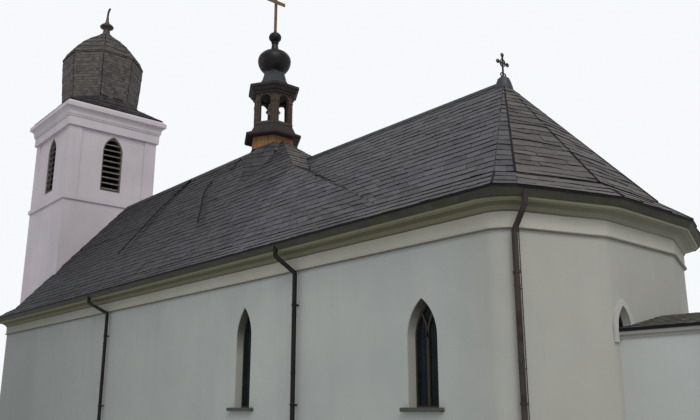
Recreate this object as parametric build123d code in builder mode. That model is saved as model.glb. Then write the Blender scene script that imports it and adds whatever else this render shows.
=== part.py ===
from build123d import *
import math
import os

# A village church: plastered nave and chancel under one slate roof, with a west tower,
# a ridge turret and a small annex at the apse.
# Millimetres. X runs east along the church, Y north, Z up from the ground.
# The origin is on the church's axis, level with the ground.

# Plan of the long body
half_width = 4010
wall_thick = 800
west_face = -15900
shoulder_x = 15290
chamfer_x = 310
chamfer_y = 280
apse_face = 16400
apse_half_face = 1500
corner_r = 500
wall_joint_x = 14800
floor_thick = 150

# Heights of the long body
wall_top = 6000
band_height = 5250

# Roof
eave_reach = 540
eave_edge = 45
eave_chamfer_x = 162
eave_chamfer_y = 445
soffit_depth = 140
soffit_fall = 112
kick_share = 0.17
kick_height = 6580
roof_depth = 260
chancel_ridge = 10580
nave_ridge = 11780
apex_x = 12770
nave_ridge_east = 2080
nave_ridge_west = -11710
fall_x = 4760
fall_half = 1450
fall_end_x = 11500

# Tower
tower_centre_x = -16560
tower_half = 2530
tower_wall = 700
tower_top = 17000
tower_cornice_top = 17680
tower_weathering = 160
skirt_rise = 1010
string_height = 12380
frieze_bottom = 16500
strip_width = 520
panel_depth = 55

# Tower dome: rise above its foot and half width of each level
drum_profile = ((0, 1930), (500, 1970), (1250, 2025), (2050, 2075), (2650, 2100))
helmet_profile = (
    (2650, 2125),
    (2730, 2120),
    (3100, 1955),
    (3550, 1590),
    (4000, 1130),
    (4350, 720),
    (4580, 440),
    (4790, 270),
)
dome_foot_half = 1950

# Long wall windows: centre, sill, springing, apex and outer width
chancel_window = (13170, 1660, 3170, 4050, 930)
nave_window = (6000, 1660, 3630, 4530, 785)
reveal_depth = 210
reveal_narrowing = 60
sill_length = 1240

# Apse window: centre across the east face, then the same heights and width
apse_window = (-1120, 3000, 3300, 3800, 520)
apse_reveal = 120
apse_narrowing = 40
surround_width = 145
surround_proud = 45

# Downpipes: place on the long wall and shift of the outlet along it
left_pipe = (-3450, -1150)
middle_pipe = (8620, -500)
corner_pipe_share = 0.93
corner_pipe_shift = 150
north_pipe = (14000, 300)

# Belfry windows, and the ways in at the tower's foot
louvre_width = 1150
louvre_sill = 13180
louvre_spring = 15420
louvre_apex = 16360
door_width = 1500
door_spring = 2100
door_apex = 3000

# Turret on the nave ridge: radii to the corners of each hexagon
turret_x = 1400
turret_base_r = 900
turret_skirt_r = 1235
turret_body_r = 825
turret_cornice_r = 1120
turret_cap_foot_r = 700
turret_cap_top_r = 444
turret_base_top = 11870
turret_skirt_top = 12400
turret_head = 13700
turret_cornice_top = 14060
turret_cap_top = 14800

# Slated apron round the turret's foot: its head tilts up to the east
apron_r = 940
apron_head = 11360
apron_tilt = 0.25
apron_rake = 2.6
apron_depth = 2100

# Annex
annex_south_y = -1335
annex_north_y = 2700
annex_east = 19500
annex_wall = 450
annex_top = 3230
annex_pitch = 12

os.makedirs("parts", exist_ok=True)


def finish(builder, name):
    """Label a finished piece and write it to its own file."""
    builder.part.label = name
    export_step(builder.part, f"parts/{name}.step")


# Plans


def other_side(points):
    """The same plan points across the church's axis, in reverse order."""
    return [(x, -y) for x, y in reversed(points)]


def outline(points):
    """Flat face on closed plan points."""
    with BuildSketch() as plan:
        with BuildLine():
            Polyline(*points, close=True)
        make_face()
    return plan.sketch


def grown_plan(points, reach):
    """Corner points of a closed plan grown square to its sides, in the same order."""
    count = len(points)
    grown = []
    for i in range(count):
        before = Vector(*points[i]) - Vector(*points[i - 1])
        after = Vector(*points[(i + 1) % count]) - Vector(*points[i])
        out_before = Vector(before.Y, -before.X).normalized()
        out_after = Vector(after.Y, -after.X).normalized()
        bisector = (out_before + out_after).normalized()
        corner = Vector(*points[i]) + bisector * (reach / bisector.dot(out_before))
        grown.append((corner.X, corner.Y))
    return grown


# Outer plan of the apse, south half, from the long wall to the east face
apse_half_plan = [
    (shoulder_x, -half_width),
    (shoulder_x + chamfer_x, -half_width + chamfer_y),
    (apse_face, -apse_half_face),
]
apse_plan = apse_half_plan + other_side(apse_half_plan)
body_plan = [(west_face, -half_width)] + apse_plan + [(west_face, half_width)]

# Inner plan follows the walls without the small chamfer
facet_lean = (apse_face - shoulder_x - chamfer_x) / (half_width - chamfer_y - apse_half_face)
sharp_x = shoulder_x + chamfer_x - chamfer_y * facet_lean
sharp_half = [(west_face, -half_width), (sharp_x, -half_width), (apse_face, -apse_half_face)]
inner_plan = grown_plan(sharp_half + other_side(sharp_half), -wall_thick)


def rounded_body(reach):
    """Plan of the long body grown by a reach, with the apse corners softened."""
    points = grown_plan(body_plan, reach)
    with BuildSketch() as plan:
        add(outline(points))
        fillet(plan.vertices().filter_by_position(Axis.X, 0, 2 * apse_face), corner_r + reach)
    return plan.sketch


with BuildSketch() as body_ring:
    add(rounded_body(0))
    add(outline(inner_plan), mode=Mode.SUBTRACT)

with BuildSketch() as tower_plan:
    with Locations((tower_centre_x, 0)):
        Rectangle(2 * tower_half, 2 * tower_half)


def prism(sketch, low, high):
    """Upright solid on a plan."""
    with BuildPart() as block:
        with BuildSketch(Plane.XY.offset(low)):
            add(sketch)
        extrude(amount=high - low)
    return block.part


def skinned(corners):
    """Solid with flat sides between rings of corner points."""
    faces = [Face(Wire.make_polygon(corners[0])), Face(Wire.make_polygon(corners[-1]))]
    for low, high in zip(corners, corners[1:]):
        for i in range(len(low)):
            side = [low[i - 1], low[i], high[i], high[i - 1]]
            faces.append(Face(Wire.make_polygon(side)))
    return Solid(Shell(faces))


def stacked(rings):
    """Solid with flat sides between rings, each a height and its plan points."""
    return skinned([[Vector(x, y, height) for x, y in points] for height, points in rings])


# Upright faces and pointed openings


def wall_face(x, y, z, outward):
    """Plane on a wall face: x along the wall, y up, z outward."""
    angle = math.radians(outward)
    out = (math.cos(angle), math.sin(angle), 0)
    along = (-math.sin(angle), math.cos(angle), 0)
    return Plane(origin=(x, y, z), x_dir=along, z_dir=out)


def raised(face, height):
    """The same wall plane with its origin moved up."""
    return face.shift_origin(face.origin + Vector(0, 0, height))


def lancet(width, spring, apex):
    """Pointed opening standing on the sketch's x axis."""
    half = width / 2
    rise = apex - spring
    radius = (half * half + rise * rise) / width
    centre = half - radius
    middle = math.atan2(rise, -centre) / 2
    knee = (centre + radius * math.cos(middle), spring + radius * math.sin(middle))
    with BuildSketch() as opening:
        with BuildLine():
            Line((-half, 0), (half, 0))
            Line((half, 0), (half, spring))
            ThreePointArc((half, spring), knee, (0, apex))
            ThreePointArc((0, apex), (-knee[0], knee[1]), (-half, spring))
            Line((-half, spring), (-half, 0))
        make_face()
    return opening.sketch


def lancet_block(face, width, spring, apex, depth):
    """Solid of a pointed opening, from a face inward."""
    with BuildPart() as block:
        with BuildSketch(face):
            add(lancet(width, spring, apex))
        extrude(amount=-depth)
    return block.part


def narrowed(width, apex, narrowing):
    """Width and apex of a lancet shrunk evenly toward its frame."""
    return width - 2 * narrowing, apex - 1.6 * narrowing


def splayed_void(face, width, spring, apex, depth, narrowing):
    """Space of a pointed window whose reveal narrows toward the frame."""
    narrow, low_apex = narrowed(width, apex, narrowing)
    with BuildPart() as void:
        with BuildSketch(face):
            add(lancet(width, spring, apex))
        with BuildSketch(face.offset(-depth)):
            add(lancet(narrow, spring, low_apex))
        loft(ruled=True)
        add(lancet_block(face.offset(-depth), narrow, spring, low_apex, wall_thick - depth))
    return void.part


# Floor: one slab inside the long body and one inside the tower
with BuildPart() as floor:
    add(prism(outline(inner_plan), 0, floor_thick))
    add(prism(tower_plan.sketch, 0, floor_thick), mode=Mode.SUBTRACT)
    with BuildSketch():
        with Locations((tower_centre_x, 0)):
            Rectangle(2 * (tower_half - tower_wall), 2 * (tower_half - tower_wall))
    extrude(amount=floor_thick)
finish(floor, "floor")


# Walls of the long body: one ring shared out by plan regions


def wall_share(region, voids=()):
    """The part of the wall ring inside a plan region, with its windows cut."""
    with BuildPart() as share:
        with BuildSketch():
            add(body_ring.sketch)
            add(outline(region), mode=Mode.INTERSECT)
        extrude(amount=wall_top)
        for void in voids:
            add(void, mode=Mode.SUBTRACT)
    return share


def long_wall_voids(side):
    """Window spaces of the south wall for side -1, the north wall for side 1."""
    voids = []
    for centre, sill, spring, apex, width in (chancel_window, nave_window):
        face = wall_face(centre, side * half_width, sill, 90 * side)
        voids.append(
            splayed_void(face, width, spring - sill, apex - sill, reveal_depth, reveal_narrowing)
        )
    return voids


inner_half = half_width - wall_thick
south_region = [
    (west_face, -half_width),
    (wall_joint_x, -half_width),
    (wall_joint_x, -inner_half),
    (west_face, -inner_half),
]
apse_south_region = [
    (wall_joint_x, -2 * half_width),
    (2 * apse_face, -2 * half_width),
    (2 * apse_face, -apse_half_face),
    (wall_joint_x, -apse_half_face),
]
apse_east_region = [
    (wall_joint_x, -apse_half_face),
    (2 * apse_face, -apse_half_face),
    (2 * apse_face, apse_half_face),
    (wall_joint_x, apse_half_face),
]

south_wall = wall_share(south_region, long_wall_voids(-1))
finish(south_wall, "south_wall")
north_wall = wall_share(other_side(south_region), long_wall_voids(1))
finish(north_wall, "north_wall")
apse_south_wall = wall_share(apse_south_region)
finish(apse_south_wall, "apse_south_wall")
apse_north_wall = wall_share(other_side(apse_south_region))
finish(apse_north_wall, "apse_north_wall")

apse_centre, apse_sill, apse_spring, apse_apex, apse_width = apse_window
apse_window_face = wall_face(apse_face, apse_centre, apse_sill, 0)
apse_spring_rise = apse_spring - apse_sill
apse_apex_rise = apse_apex - apse_sill
apse_void = splayed_void(
    apse_window_face, apse_width, apse_spring_rise, apse_apex_rise, apse_reveal, apse_narrowing
)
apse_east_wall = wall_share(apse_east_region, [apse_void])
finish(apse_east_wall, "apse_east_wall")

# West wall: a stretch on each side of the tower
with BuildPart() as west_wall:
    with BuildSketch():
        for side in (-1, 1):
            with Locations((west_face + wall_thick / 2, side * (tower_half + inner_half) / 2)):
                Rectangle(wall_thick, inner_half - tower_half)
    extrude(amount=wall_top)
finish(west_wall, "west_wall")


# Cornice: lower bead, frieze, cavetto and crowning fillet
cornice_reach = 410
band_reach = 75
frieze_reach = 35
frieze_head = band_height + 385
cove_foot = frieze_head + 30
cove_r = 330
bead_height = band_height + 560

with BuildSketch() as cornice_section:
    with BuildLine():
        Polyline(
            (0, wall_top),
            (0, band_height),
            (band_reach - 15, band_height),
            (band_reach, band_height + 15),
            (band_reach, band_height + 45),
            (frieze_reach, band_height + 65),
            (frieze_reach, frieze_head),
            (frieze_reach + 30, frieze_head + 12),
            (frieze_reach + 30, cove_foot),
        )
        RadiusArc((frieze_reach + 30, cove_foot), (cornice_reach - 60, bead_height), cove_r)
        Polyline(
            (cornice_reach - 60, bead_height),
            (cornice_reach - 20, bead_height),
            (cornice_reach, bead_height + 30),
            (cornice_reach, wall_top),
            (0, wall_top),
        )
    make_face()


def cornice(edges, start, along):
    """Cornice swept along edges of the outer wall plan."""
    east, north = along
    with BuildPart() as piece:
        with BuildSketch(Plane(origin=start, x_dir=(north, -east, 0), z_dir=(-east, -north, 0))):
            add(cornice_section.sketch)
        sweep(path=Wire(edges), transition=Transition.RIGHT)
    return piece


cornice_joint_x = 14500
with BuildLine() as south_run:
    Polyline(
        (west_face, -tower_half, 0), (west_face, -half_width, 0), (cornice_joint_x, -half_width, 0)
    )
with BuildLine() as apse_run:
    FilletPolyline(
        (cornice_joint_x, -half_width, 0),
        *[(x, y, 0) for x, y in apse_plan],
        (cornice_joint_x, half_width, 0),
        radius=corner_r,
    )
south_cornice = cornice(south_run.edges(), (west_face, -tower_half, 0), (0, -1))
finish(south_cornice, "south_cornice")
apse_cornice = cornice(apse_run.edges(), (cornice_joint_x, -half_width, 0), (1, 0))
finish(apse_cornice, "apse_cornice")
with BuildPart() as north_cornice:
    add(south_cornice.part.mirror(Plane.XZ))
finish(north_cornice, "north_cornice")


# Roof: a flatter strip at the eaves, then the steeper upper slopes
eave_west, eave_sharp, eave_east = grown_plan(sharp_half + other_side(sharp_half), eave_reach)[:3]
eave_half_plan = [
    eave_west,
    (eave_sharp[0] - eave_chamfer_x, eave_sharp[1]),
    (eave_sharp[0] + eave_chamfer_y * facet_lean, eave_sharp[1] + eave_chamfer_y),
    eave_east,
]
eave_plan = eave_half_plan + other_side(eave_half_plan)
kick_half = (half_width + eave_reach) * (1 - kick_share)
hip_tops = [(nave_ridge_west, 0)] + [(apex_x, 0)] * len(apse_plan) + [(nave_ridge_west, 0)]


def drawn_in(share):
    """Eave plan drawn toward the heads of the hips by a share of the way."""
    return [
        tuple(a + share * (b - a) for a, b in zip(eave, top))
        for eave, top in zip(eave_plan, hip_tops)
    ]


kick_plan = drawn_in(kick_share)


def slope(p, q, r):
    """Plane through three points, facing up."""
    normal = (Vector(*q) - Vector(*p)).cross(Vector(*r) - Vector(*p))
    if normal.Z < 0:
        normal = normal * -1
    return Plane(origin=p, z_dir=normal)


def long_slopes(top):
    """South and north roof planes from the kick lines up to a ridge point."""
    return [
        slope((0, side * kick_half, kick_height), (1, side * kick_half, kick_height), top)
        for side in (-1, 1)
    ]


def trimmed_mass(points, high, planes):
    """Block on a plan from the kick height, cut down by roof planes."""
    with BuildPart() as mass:
        add(prism(outline(points), kick_height, high))
        for plane in planes:
            split(bisect_by=plane, keep=Keep.BOTTOM)
    return mass.part


def kick_rectangle(x_low, x_high):
    """Plan rectangle between the kick lines."""
    return [(x_low, -kick_half), (x_high, -kick_half), (x_high, kick_half), (x_low, kick_half)]


eaves_rings = [
    (wall_top, eave_plan),
    (wall_top + eave_edge, eave_plan),
    (kick_height, kick_plan),
]

chancel_apex = (apex_x, 0, chancel_ridge)
chancel_slopes = long_slopes(chancel_apex)
for start, end in zip(kick_plan[1:6], kick_plan[2:7]):
    chancel_slopes.append(slope((*start, kick_height), (*end, kick_height), chancel_apex))
chancel_kick = (
    [(fall_x - fall_half, -kick_half)] + kick_plan[1:7] + [(fall_x - fall_half, kick_half)]
)
chancel_mass = trimmed_mass(chancel_kick, nave_ridge, chancel_slopes)

# The taller nave roof falls east in a hip, then in a long low facet that dies into the chancel's
nave_kick_x = kick_plan[0][0]
nave_top = (nave_ridge_east, 0, nave_ridge)
fall_height = kick_height + (nave_ridge - kick_height) * (1 - fall_half / kick_half)
west_hip = slope(
    (nave_kick_x, 0, kick_height), (nave_kick_x, 1, kick_height), (nave_ridge_west, 0, nave_ridge)
)
east_hip = slope((fall_x, 0, fall_height), (fall_x, 1, fall_height), nave_top)
low_fall = slope((fall_x, 0, fall_height), (fall_x, 1, fall_height), (fall_end_x, 0, kick_height))
nave_mass = trimmed_mass(
    kick_rectangle(nave_kick_x, fall_x), nave_ridge + 1, long_slopes(nave_top) + [west_hip, east_hip]
)
fall_mass = trimmed_mass(
    kick_rectangle(fall_x, fall_end_x), nave_ridge, long_slopes(nave_top) + [low_fall]
)

def hexagon(radius):
    """Corners of a hexagon at the turret's axis, with sides facing east and west."""
    turns = [math.radians(60 * k - 30) for k in range(6)]
    return [(turret_x + radius * math.cos(t), radius * math.sin(t)) for t in turns]


def hexagonal(levels):
    """Flat-sided solid through hexagons of given height and radius."""
    return stacked([(height, hexagon(radius)) for height, radius in levels])


def apron_ring(drop):
    """Tilted hexagon of the turret's apron, a drop below its head."""
    height = apron_head - drop
    return [
        Vector(x, y, height + apron_tilt * (x - turret_x))
        for x, y in hexagon(apron_r + drop / apron_rake)
    ]


with BuildPart() as roof_mass:
    add(stacked(eaves_rings))
    add(chancel_mass)
    add(nave_mass)
    add(fall_mass)
    add(skinned([apron_ring(apron_depth), apron_ring(0)]))

with BuildPart() as roof_shell:
    add(roof_mass.part)
    add(roof_mass.part.moved(Location((0, 0, -roof_depth))), mode=Mode.SUBTRACT)
    add(prism(tower_plan.sketch, 0, nave_ridge), mode=Mode.SUBTRACT)

with BuildPart() as nave_roof:
    add(roof_shell.part)
    split(bisect_by=Plane.YZ.offset(fall_x), keep=Keep.BOTTOM)
finish(nave_roof, "nave_roof")

with BuildPart() as chancel_roof:
    add(roof_shell.part)
    split(bisect_by=Plane.YZ.offset(fall_x), keep=Keep.TOP)
finish(chancel_roof, "chancel_roof")

# Ridge caps: folded strips along both ridges
cap_reach = 150
cap_thick = 30
nave_rake = (nave_ridge - kick_height) / kick_half
chancel_rake = (chancel_ridge - kick_height) / kick_half
chancel_ridge_start = fall_x - (chancel_ridge - fall_height) * (fall_x - nave_ridge_east) / (
    nave_ridge - fall_height
)
turret_gap = turret_base_r * math.cos(math.radians(30))

with BuildPart() as ridge_caps:
    for x_low, x_high, ridge, rake in (
        (nave_ridge_west, turret_x - turret_gap, nave_ridge, nave_rake),
        (chancel_ridge_start, apex_x, chancel_ridge, chancel_rake),
    ):
        with BuildSketch(Plane.YZ.offset(x_low)):
            with BuildLine():
                Polyline(
                    (-cap_reach, ridge - rake * cap_reach),
                    (0, ridge),
                    (cap_reach, ridge - rake * cap_reach),
                    (cap_reach, ridge - rake * cap_reach + 2 * cap_thick),
                    (0, ridge + 2 * cap_thick),
                    (-cap_reach, ridge - rake * cap_reach + 2 * cap_thick),
                    close=True,
                )
            make_face()
        extrude(amount=x_high - x_low)
    add(roof_mass.part, mode=Mode.SUBTRACT)

# Sloping soffit from the cornice out to the roof's edge
half_span = half_width + eave_reach
soffit_lip = 15
with BuildPart() as eaves_soffit:
    add(
        stacked(
            [
                (wall_top - soffit_depth, drawn_in(soffit_fall / half_span)),
                (wall_top, drawn_in(soffit_lip / half_span)),
            ]
        )
    )
    add(prism(rounded_body(cornice_reach), 0, wall_top), mode=Mode.SUBTRACT)
    add(prism(tower_plan.sketch, 0, nave_ridge), mode=Mode.SUBTRACT)
finish(eaves_soffit, "eaves_soffit")

# Downpipes with swan necks and wall brackets
pipe_r = 62
pipe_line = band_reach + pipe_r + 5
outlet_line = cornice_reach + 45
outlet_foot = wall_top - 300
pipe_bend = 110
pipe_foot = 100
bracket_heights = (1700, 4300)
bracket_height = 50
bracket_width = 40
bracket_sheet = 14


def downpipe(wall_point, outward, shift):
    """Pipe from the soffit down a wall, its outlet shifted along the wall."""
    wall = Vector(*wall_point, 0)
    out = Vector(math.cos(math.radians(outward)), math.sin(math.radians(outward)), 0)
    along = Vector(-out.Y, out.X, 0)
    foot = wall + out * pipe_line
    outlet = wall + out * outlet_line + along * shift
    with BuildPart() as pipe:
        with BuildLine() as route:
            FilletPolyline(
                outlet + Vector(0, 0, wall_top),
                outlet + Vector(0, 0, outlet_foot),
                foot + Vector(0, 0, band_height - pipe_bend / 2),
                foot + Vector(0, 0, pipe_foot),
                radius=pipe_bend,
            )
        with BuildSketch(Plane(origin=outlet + Vector(0, 0, wall_top), z_dir=(0, 0, -1))):
            Circle(pipe_r)
        sweep(path=route.wires()[0])
        for height in bracket_heights:
            with BuildSketch(Plane(origin=foot + Vector(0, 0, height), x_dir=out, z_dir=(0, 0, 1))):
                Circle(pipe_r + bracket_sheet)
                with Locations((-pipe_line / 2, 0)):
                    Rectangle(pipe_line + corner_r / 4, bracket_width)
            extrude(amount=bracket_height)
    return pipe.part


corner_point = (
    shoulder_x + corner_pipe_share * chamfer_x,
    -half_width + corner_pipe_share * chamfer_y,
)
chamfer_outward = math.degrees(math.atan2(-chamfer_x, chamfer_y))
facet_outward = -math.degrees(math.atan(facet_lean))
with BuildPart() as pipe_runs:
    for place, shift in (left_pipe, middle_pipe):
        add(downpipe((place, -half_width), -90, shift))
        add(downpipe((place, half_width), 90, -shift))
    add(downpipe(corner_point, (chamfer_outward + facet_outward) / 2, corner_pipe_shift))
    add(downpipe((north_pipe[0], half_width), 90, north_pipe[1]))
with BuildPart() as downpipes:
    add(pipe_runs.part)
    add(prism(body_ring.sketch, 0, wall_top), mode=Mode.SUBTRACT)
    for trim in (south_cornice, apse_cornice, north_cornice, eaves_soffit):
        add(trim.part, mode=Mode.SUBTRACT)
finish(downpipes, "downpipes")


# Windows of the long walls and the apse
frame_width = 42
frame_depth = 60
glass_thick = 12


def window_frame(face, width, spring, apex):
    """Ring filling a pointed opening."""
    inner_width, inner_apex = narrowed(width, apex, frame_width)
    with BuildPart() as ring:
        add(lancet_block(face, width, spring, apex, frame_depth))
        add(
            lancet_block(
                raised(face, frame_width),
                inner_width,
                spring - frame_width,
                inner_apex - frame_width,
                frame_depth,
            ),
            mode=Mode.SUBTRACT,
        )
    return ring.part


def window_pane(face, width, spring, apex):
    """Pane seated in the ring."""
    inner_width, inner_apex = narrowed(width, apex, frame_width)
    return lancet_block(
        raised(face, frame_width).offset((glass_thick - frame_depth) / 2),
        inner_width,
        spring - frame_width,
        inner_apex - frame_width,
        glass_thick,
    )


def each_window(make):
    """The given piece in every window of the long walls and the apse."""
    with BuildPart() as pieces:
        for side in (-1, 1):
            for centre, sill, spring, apex, width in (chancel_window, nave_window):
                face = wall_face(centre, side * half_width, sill, 90 * side).offset(-reveal_depth)
                narrow, low_apex = narrowed(width, apex - sill, reveal_narrowing)
                add(make(face, narrow, spring - sill, low_apex))
        narrow, low_apex = narrowed(apse_width, apse_apex_rise, apse_narrowing)
        add(make(apse_window_face.offset(-apse_reveal), narrow, apse_spring_rise, low_apex))
    return pieces


window_frames = each_window(window_frame)
finish(window_frames, "window_frames")
window_glass = each_window(window_pane)
finish(window_glass, "window_glass")

sill_thick = 95
sill_reach = 120
with BuildPart() as window_sills:
    for side in (-1, 1):
        for centre, sill, spring, apex, width in (chancel_window, nave_window):
            with BuildSketch(wall_face(centre, side * half_width, sill, 90 * side)):
                with Locations((0, -sill_thick / 2)):
                    SlotOverall(sill_length, sill_thick)
            extrude(amount=sill_reach)
finish(window_sills, "window_sills")

with BuildPart() as apse_window_surround:
    add(
        lancet_block(
            apse_window_face,
            apse_width + 2 * surround_width,
            apse_spring_rise,
            apse_apex_rise + surround_width,
            -surround_proud,
        )
    )
    add(
        lancet_block(
            apse_window_face, apse_width, apse_spring_rise, apse_apex_rise, -surround_proud
        ),
        mode=Mode.SUBTRACT,
    )
finish(apse_window_surround, "apse_window_surround")


# Tower walls: north and south run through, east and west stand between them
tower_head = tower_cornice_top + tower_weathering
string_depth = 220
string_reach = 80
frieze_reach_out = 110
panel_low = string_height + string_depth
louvre_spring_rise = louvre_spring - louvre_sill
louvre_apex_rise = louvre_apex - louvre_sill


def tower_face(outward, z=0.0):
    """Plane on one outer face of the tower."""
    angle = math.radians(outward)
    x = tower_centre_x + tower_half * math.cos(angle)
    return wall_face(x, tower_half * math.sin(angle), z, outward)


def square(half):
    """Square around the tower's axis."""
    with BuildSketch() as plan:
        with Locations((tower_centre_x, 0)):
            Rectangle(2 * half, 2 * half)
    return plan.sketch


with BuildPart() as tower_trim:
    add(prism(square(tower_half + string_reach), string_height, string_height + string_depth))
    add(prism(square(tower_half + frieze_reach_out), frieze_bottom, tower_top))

tower_inner = prism(square(tower_half - tower_wall), 0, tower_top)


def tower_wall_piece(outward):
    """One side of the tower, with its belfry opening, panel and share of the bands."""
    through = outward in (90, -90)
    face = tower_face(outward)
    reach = tower_half + frieze_reach_out
    near = tower_half - tower_wall
    with BuildPart() as wall:
        add(prism(square(tower_half), 0, tower_top))
        add(tower_trim.part)
        add(tower_inner, mode=Mode.SUBTRACT)
        with BuildSketch(face):
            with Locations((0, (panel_low + frieze_bottom) / 2)):
                Rectangle(2 * (tower_half - strip_width), frieze_bottom - panel_low)
        extrude(amount=-panel_depth, mode=Mode.SUBTRACT)
        opening = lancet_block(
            raised(face, louvre_sill),
            louvre_width,
            louvre_spring_rise,
            louvre_apex_rise,
            tower_wall,
        )
        add(opening, mode=Mode.SUBTRACT)
        if outward in (0, 180):
            add(lancet_block(face, door_width, door_spring, door_apex, tower_wall), mode=Mode.SUBTRACT)
        with BuildSketch(Plane.XY):
            with BuildLine():
                if through:
                    side = outward // 90
                    Polyline(
                        (tower_centre_x - reach, side * near),
                        (tower_centre_x + reach, side * near),
                        (tower_centre_x + reach, side * reach),
                        (tower_centre_x - reach, side * reach),
                        close=True,
                    )
                else:
                    side = 1 if outward == 0 else -1
                    Polyline(
                        (tower_centre_x + side * near, -near),
                        (tower_centre_x + side * reach, -near),
                        (tower_centre_x + side * reach, near),
                        (tower_centre_x + side * near, near),
                        close=True,
                    )
            make_face()
        extrude(amount=tower_top, mode=Mode.INTERSECT)
    return wall


tower_east_wall = tower_wall_piece(0)
finish(tower_east_wall, "tower_east_wall")
tower_north_wall = tower_wall_piece(90)
finish(tower_north_wall, "tower_north_wall")
tower_west_wall = tower_wall_piece(180)
finish(tower_west_wall, "tower_west_wall")
tower_south_wall = tower_wall_piece(-90)
finish(tower_south_wall, "tower_south_wall")

door_inset = 300
door_thick = 80
with BuildPart() as tower_door:
    add(
        lancet_block(
            tower_face(180).offset(-door_inset), door_width, door_spring, door_apex, door_thick
        )
    )
finish(tower_door, "tower_door")

# Louvres: a ring with sloping slats in each belfry opening
slat_count = 10
slat_thick = 28
slat_depth = 170
slat_tilt = 38
louvre_inset = 80
louvre_depth = 140
louvre_ring = 55


def louvre(outward):
    """Louvre of one belfry opening."""
    face = tower_face(outward, louvre_sill).offset(-louvre_inset)
    inner_width, inner_apex = narrowed(louvre_width, louvre_apex_rise, louvre_ring)
    pitch = louvre_apex_rise / slat_count
    with BuildPart() as ring:
        add(
            lancet_block(
                face, louvre_width, louvre_spring_rise, louvre_apex_rise, louvre_depth
            )
        )
        add(
            lancet_block(
                raised(face, louvre_ring),
                inner_width,
                louvre_spring_rise - louvre_ring,
                inner_apex - louvre_ring,
                louvre_depth,
            ),
            mode=Mode.SUBTRACT,
        )
    with BuildPart(face) as slats:
        with Locations(
            *[
                Location((0, (i + 0.5) * pitch, -louvre_depth / 2), (slat_tilt, 0, 0))
                for i in range(slat_count)
            ]
        ):
            Box(louvre_width, slat_thick, slat_depth)
    with BuildPart() as whole:
        add(slats.part)
        add(
            lancet_block(
                face, louvre_width, louvre_spring_rise, louvre_apex_rise, louvre_depth
            ),
            mode=Mode.INTERSECT,
        )
        add(ring.part)
    return whole.part


with BuildPart() as tower_louvres:
    for outward in (0, 90, 180, -90):
        add(louvre(outward))
finish(tower_louvres, "tower_louvres")

# Tower cornice: a mitred moulding around the wall head
crown_reach = 390
skirt_reach = 220
with BuildPart() as tower_cornice:
    with BuildLine() as square_run:
        Polyline(
            (tower_centre_x, -tower_half, 0),
            (tower_centre_x + tower_half, -tower_half, 0),
            (tower_centre_x + tower_half, tower_half, 0),
            (tower_centre_x - tower_half, tower_half, 0),
            (tower_centre_x - tower_half, -tower_half, 0),
            (tower_centre_x, -tower_half, 0),
        )
    with BuildSketch(
        Plane(origin=(tower_centre_x, -tower_half, 0), x_dir=(0, -1, 0), z_dir=(-1, 0, 0))
    ):
        with BuildLine():
            Polyline(
                (-tower_wall, tower_head),
                (-tower_wall, tower_top),
                (frieze_reach_out + 40, tower_top),
                (frieze_reach_out + 40, tower_top + 70),
                (frieze_reach_out + 75, tower_top + 95),
                (frieze_reach_out + 75, tower_top + 170),
            )
            RadiusArc(
                (frieze_reach_out + 75, tower_top + 170), (crown_reach - 40, tower_top + 460), 300
            )
            Polyline(
                (crown_reach - 40, tower_top + 460),
                (crown_reach, tower_top + 470),
                (crown_reach, tower_cornice_top),
                (skirt_reach, tower_head),
                (-tower_wall, tower_head),
            )
        make_face()
    sweep(path=square_run.wires()[0], transition=Transition.RIGHT)
finish(tower_cornice, "tower_cornice")

# Skirt roof and dome: shells through levels of a square turning into an octagon
dome_base = tower_head + skirt_rise
regular_cut = 2 - math.sqrt(2)


def eight_sided(half, cut_share):
    """Square around the tower's axis with a share of each corner cut off."""
    inner = half * (1 - cut_share)
    quarter = ((half, -inner), (half, inner), (inner, half), (-inner, half))
    opposite = tuple((-x, -y) for x, y in quarter)
    return [(tower_centre_x + x, y) for x, y in quarter + opposite]


def eight_sided_solid(levels):
    """Flat-sided solid through levels of height, half width and cut corner share."""
    return stacked([(height, eight_sided(half, share)) for height, half, share in levels])


skirt_half = tower_half + skirt_reach
skirt_edge = 55
skirt_levels = [
    (tower_head, skirt_half, 0.015),
    (tower_head + skirt_edge, skirt_half, 0.015),
    (tower_head + 0.24 * skirt_rise, 0.92 * skirt_half, 0.12),
    (tower_head + 0.55 * skirt_rise, 0.8 * skirt_half, 0.37),
    (dome_base, dome_foot_half, regular_cut),
]
skirt_shell = 150
skirt_opening = 1700
with BuildPart() as tower_skirt:
    add(eight_sided_solid(skirt_levels))
    add(
        eight_sided_solid([(z - skirt_shell, half, share) for z, half, share in skirt_levels]),
        mode=Mode.SUBTRACT,
    )
    add(
        prism(outline(eight_sided(skirt_opening, regular_cut)), tower_top, dome_base),
        mode=Mode.SUBTRACT,
    )
finish(tower_skirt, "tower_skirt")

dome_levels = [(dome_base + rise, half) for rise, half in drum_profile]
helmet_levels = [(dome_base + rise, half) for rise, half in helmet_profile]
dome_shell = 130
with BuildPart() as tower_dome:
    add(eight_sided_solid([(z, half, regular_cut) for z, half in dome_levels + helmet_levels]))
    add(
        eight_sided_solid([(z, half - dome_shell, regular_cut) for z, half in dome_levels]),
        mode=Mode.SUBTRACT,
    )
    add(
        eight_sided_solid(
            [(z, half - 2 * dome_shell, regular_cut) for z, half in helmet_levels[:-2]]
        ),
        mode=Mode.SUBTRACT,
    )
finish(tower_dome, "tower_dome")

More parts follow.
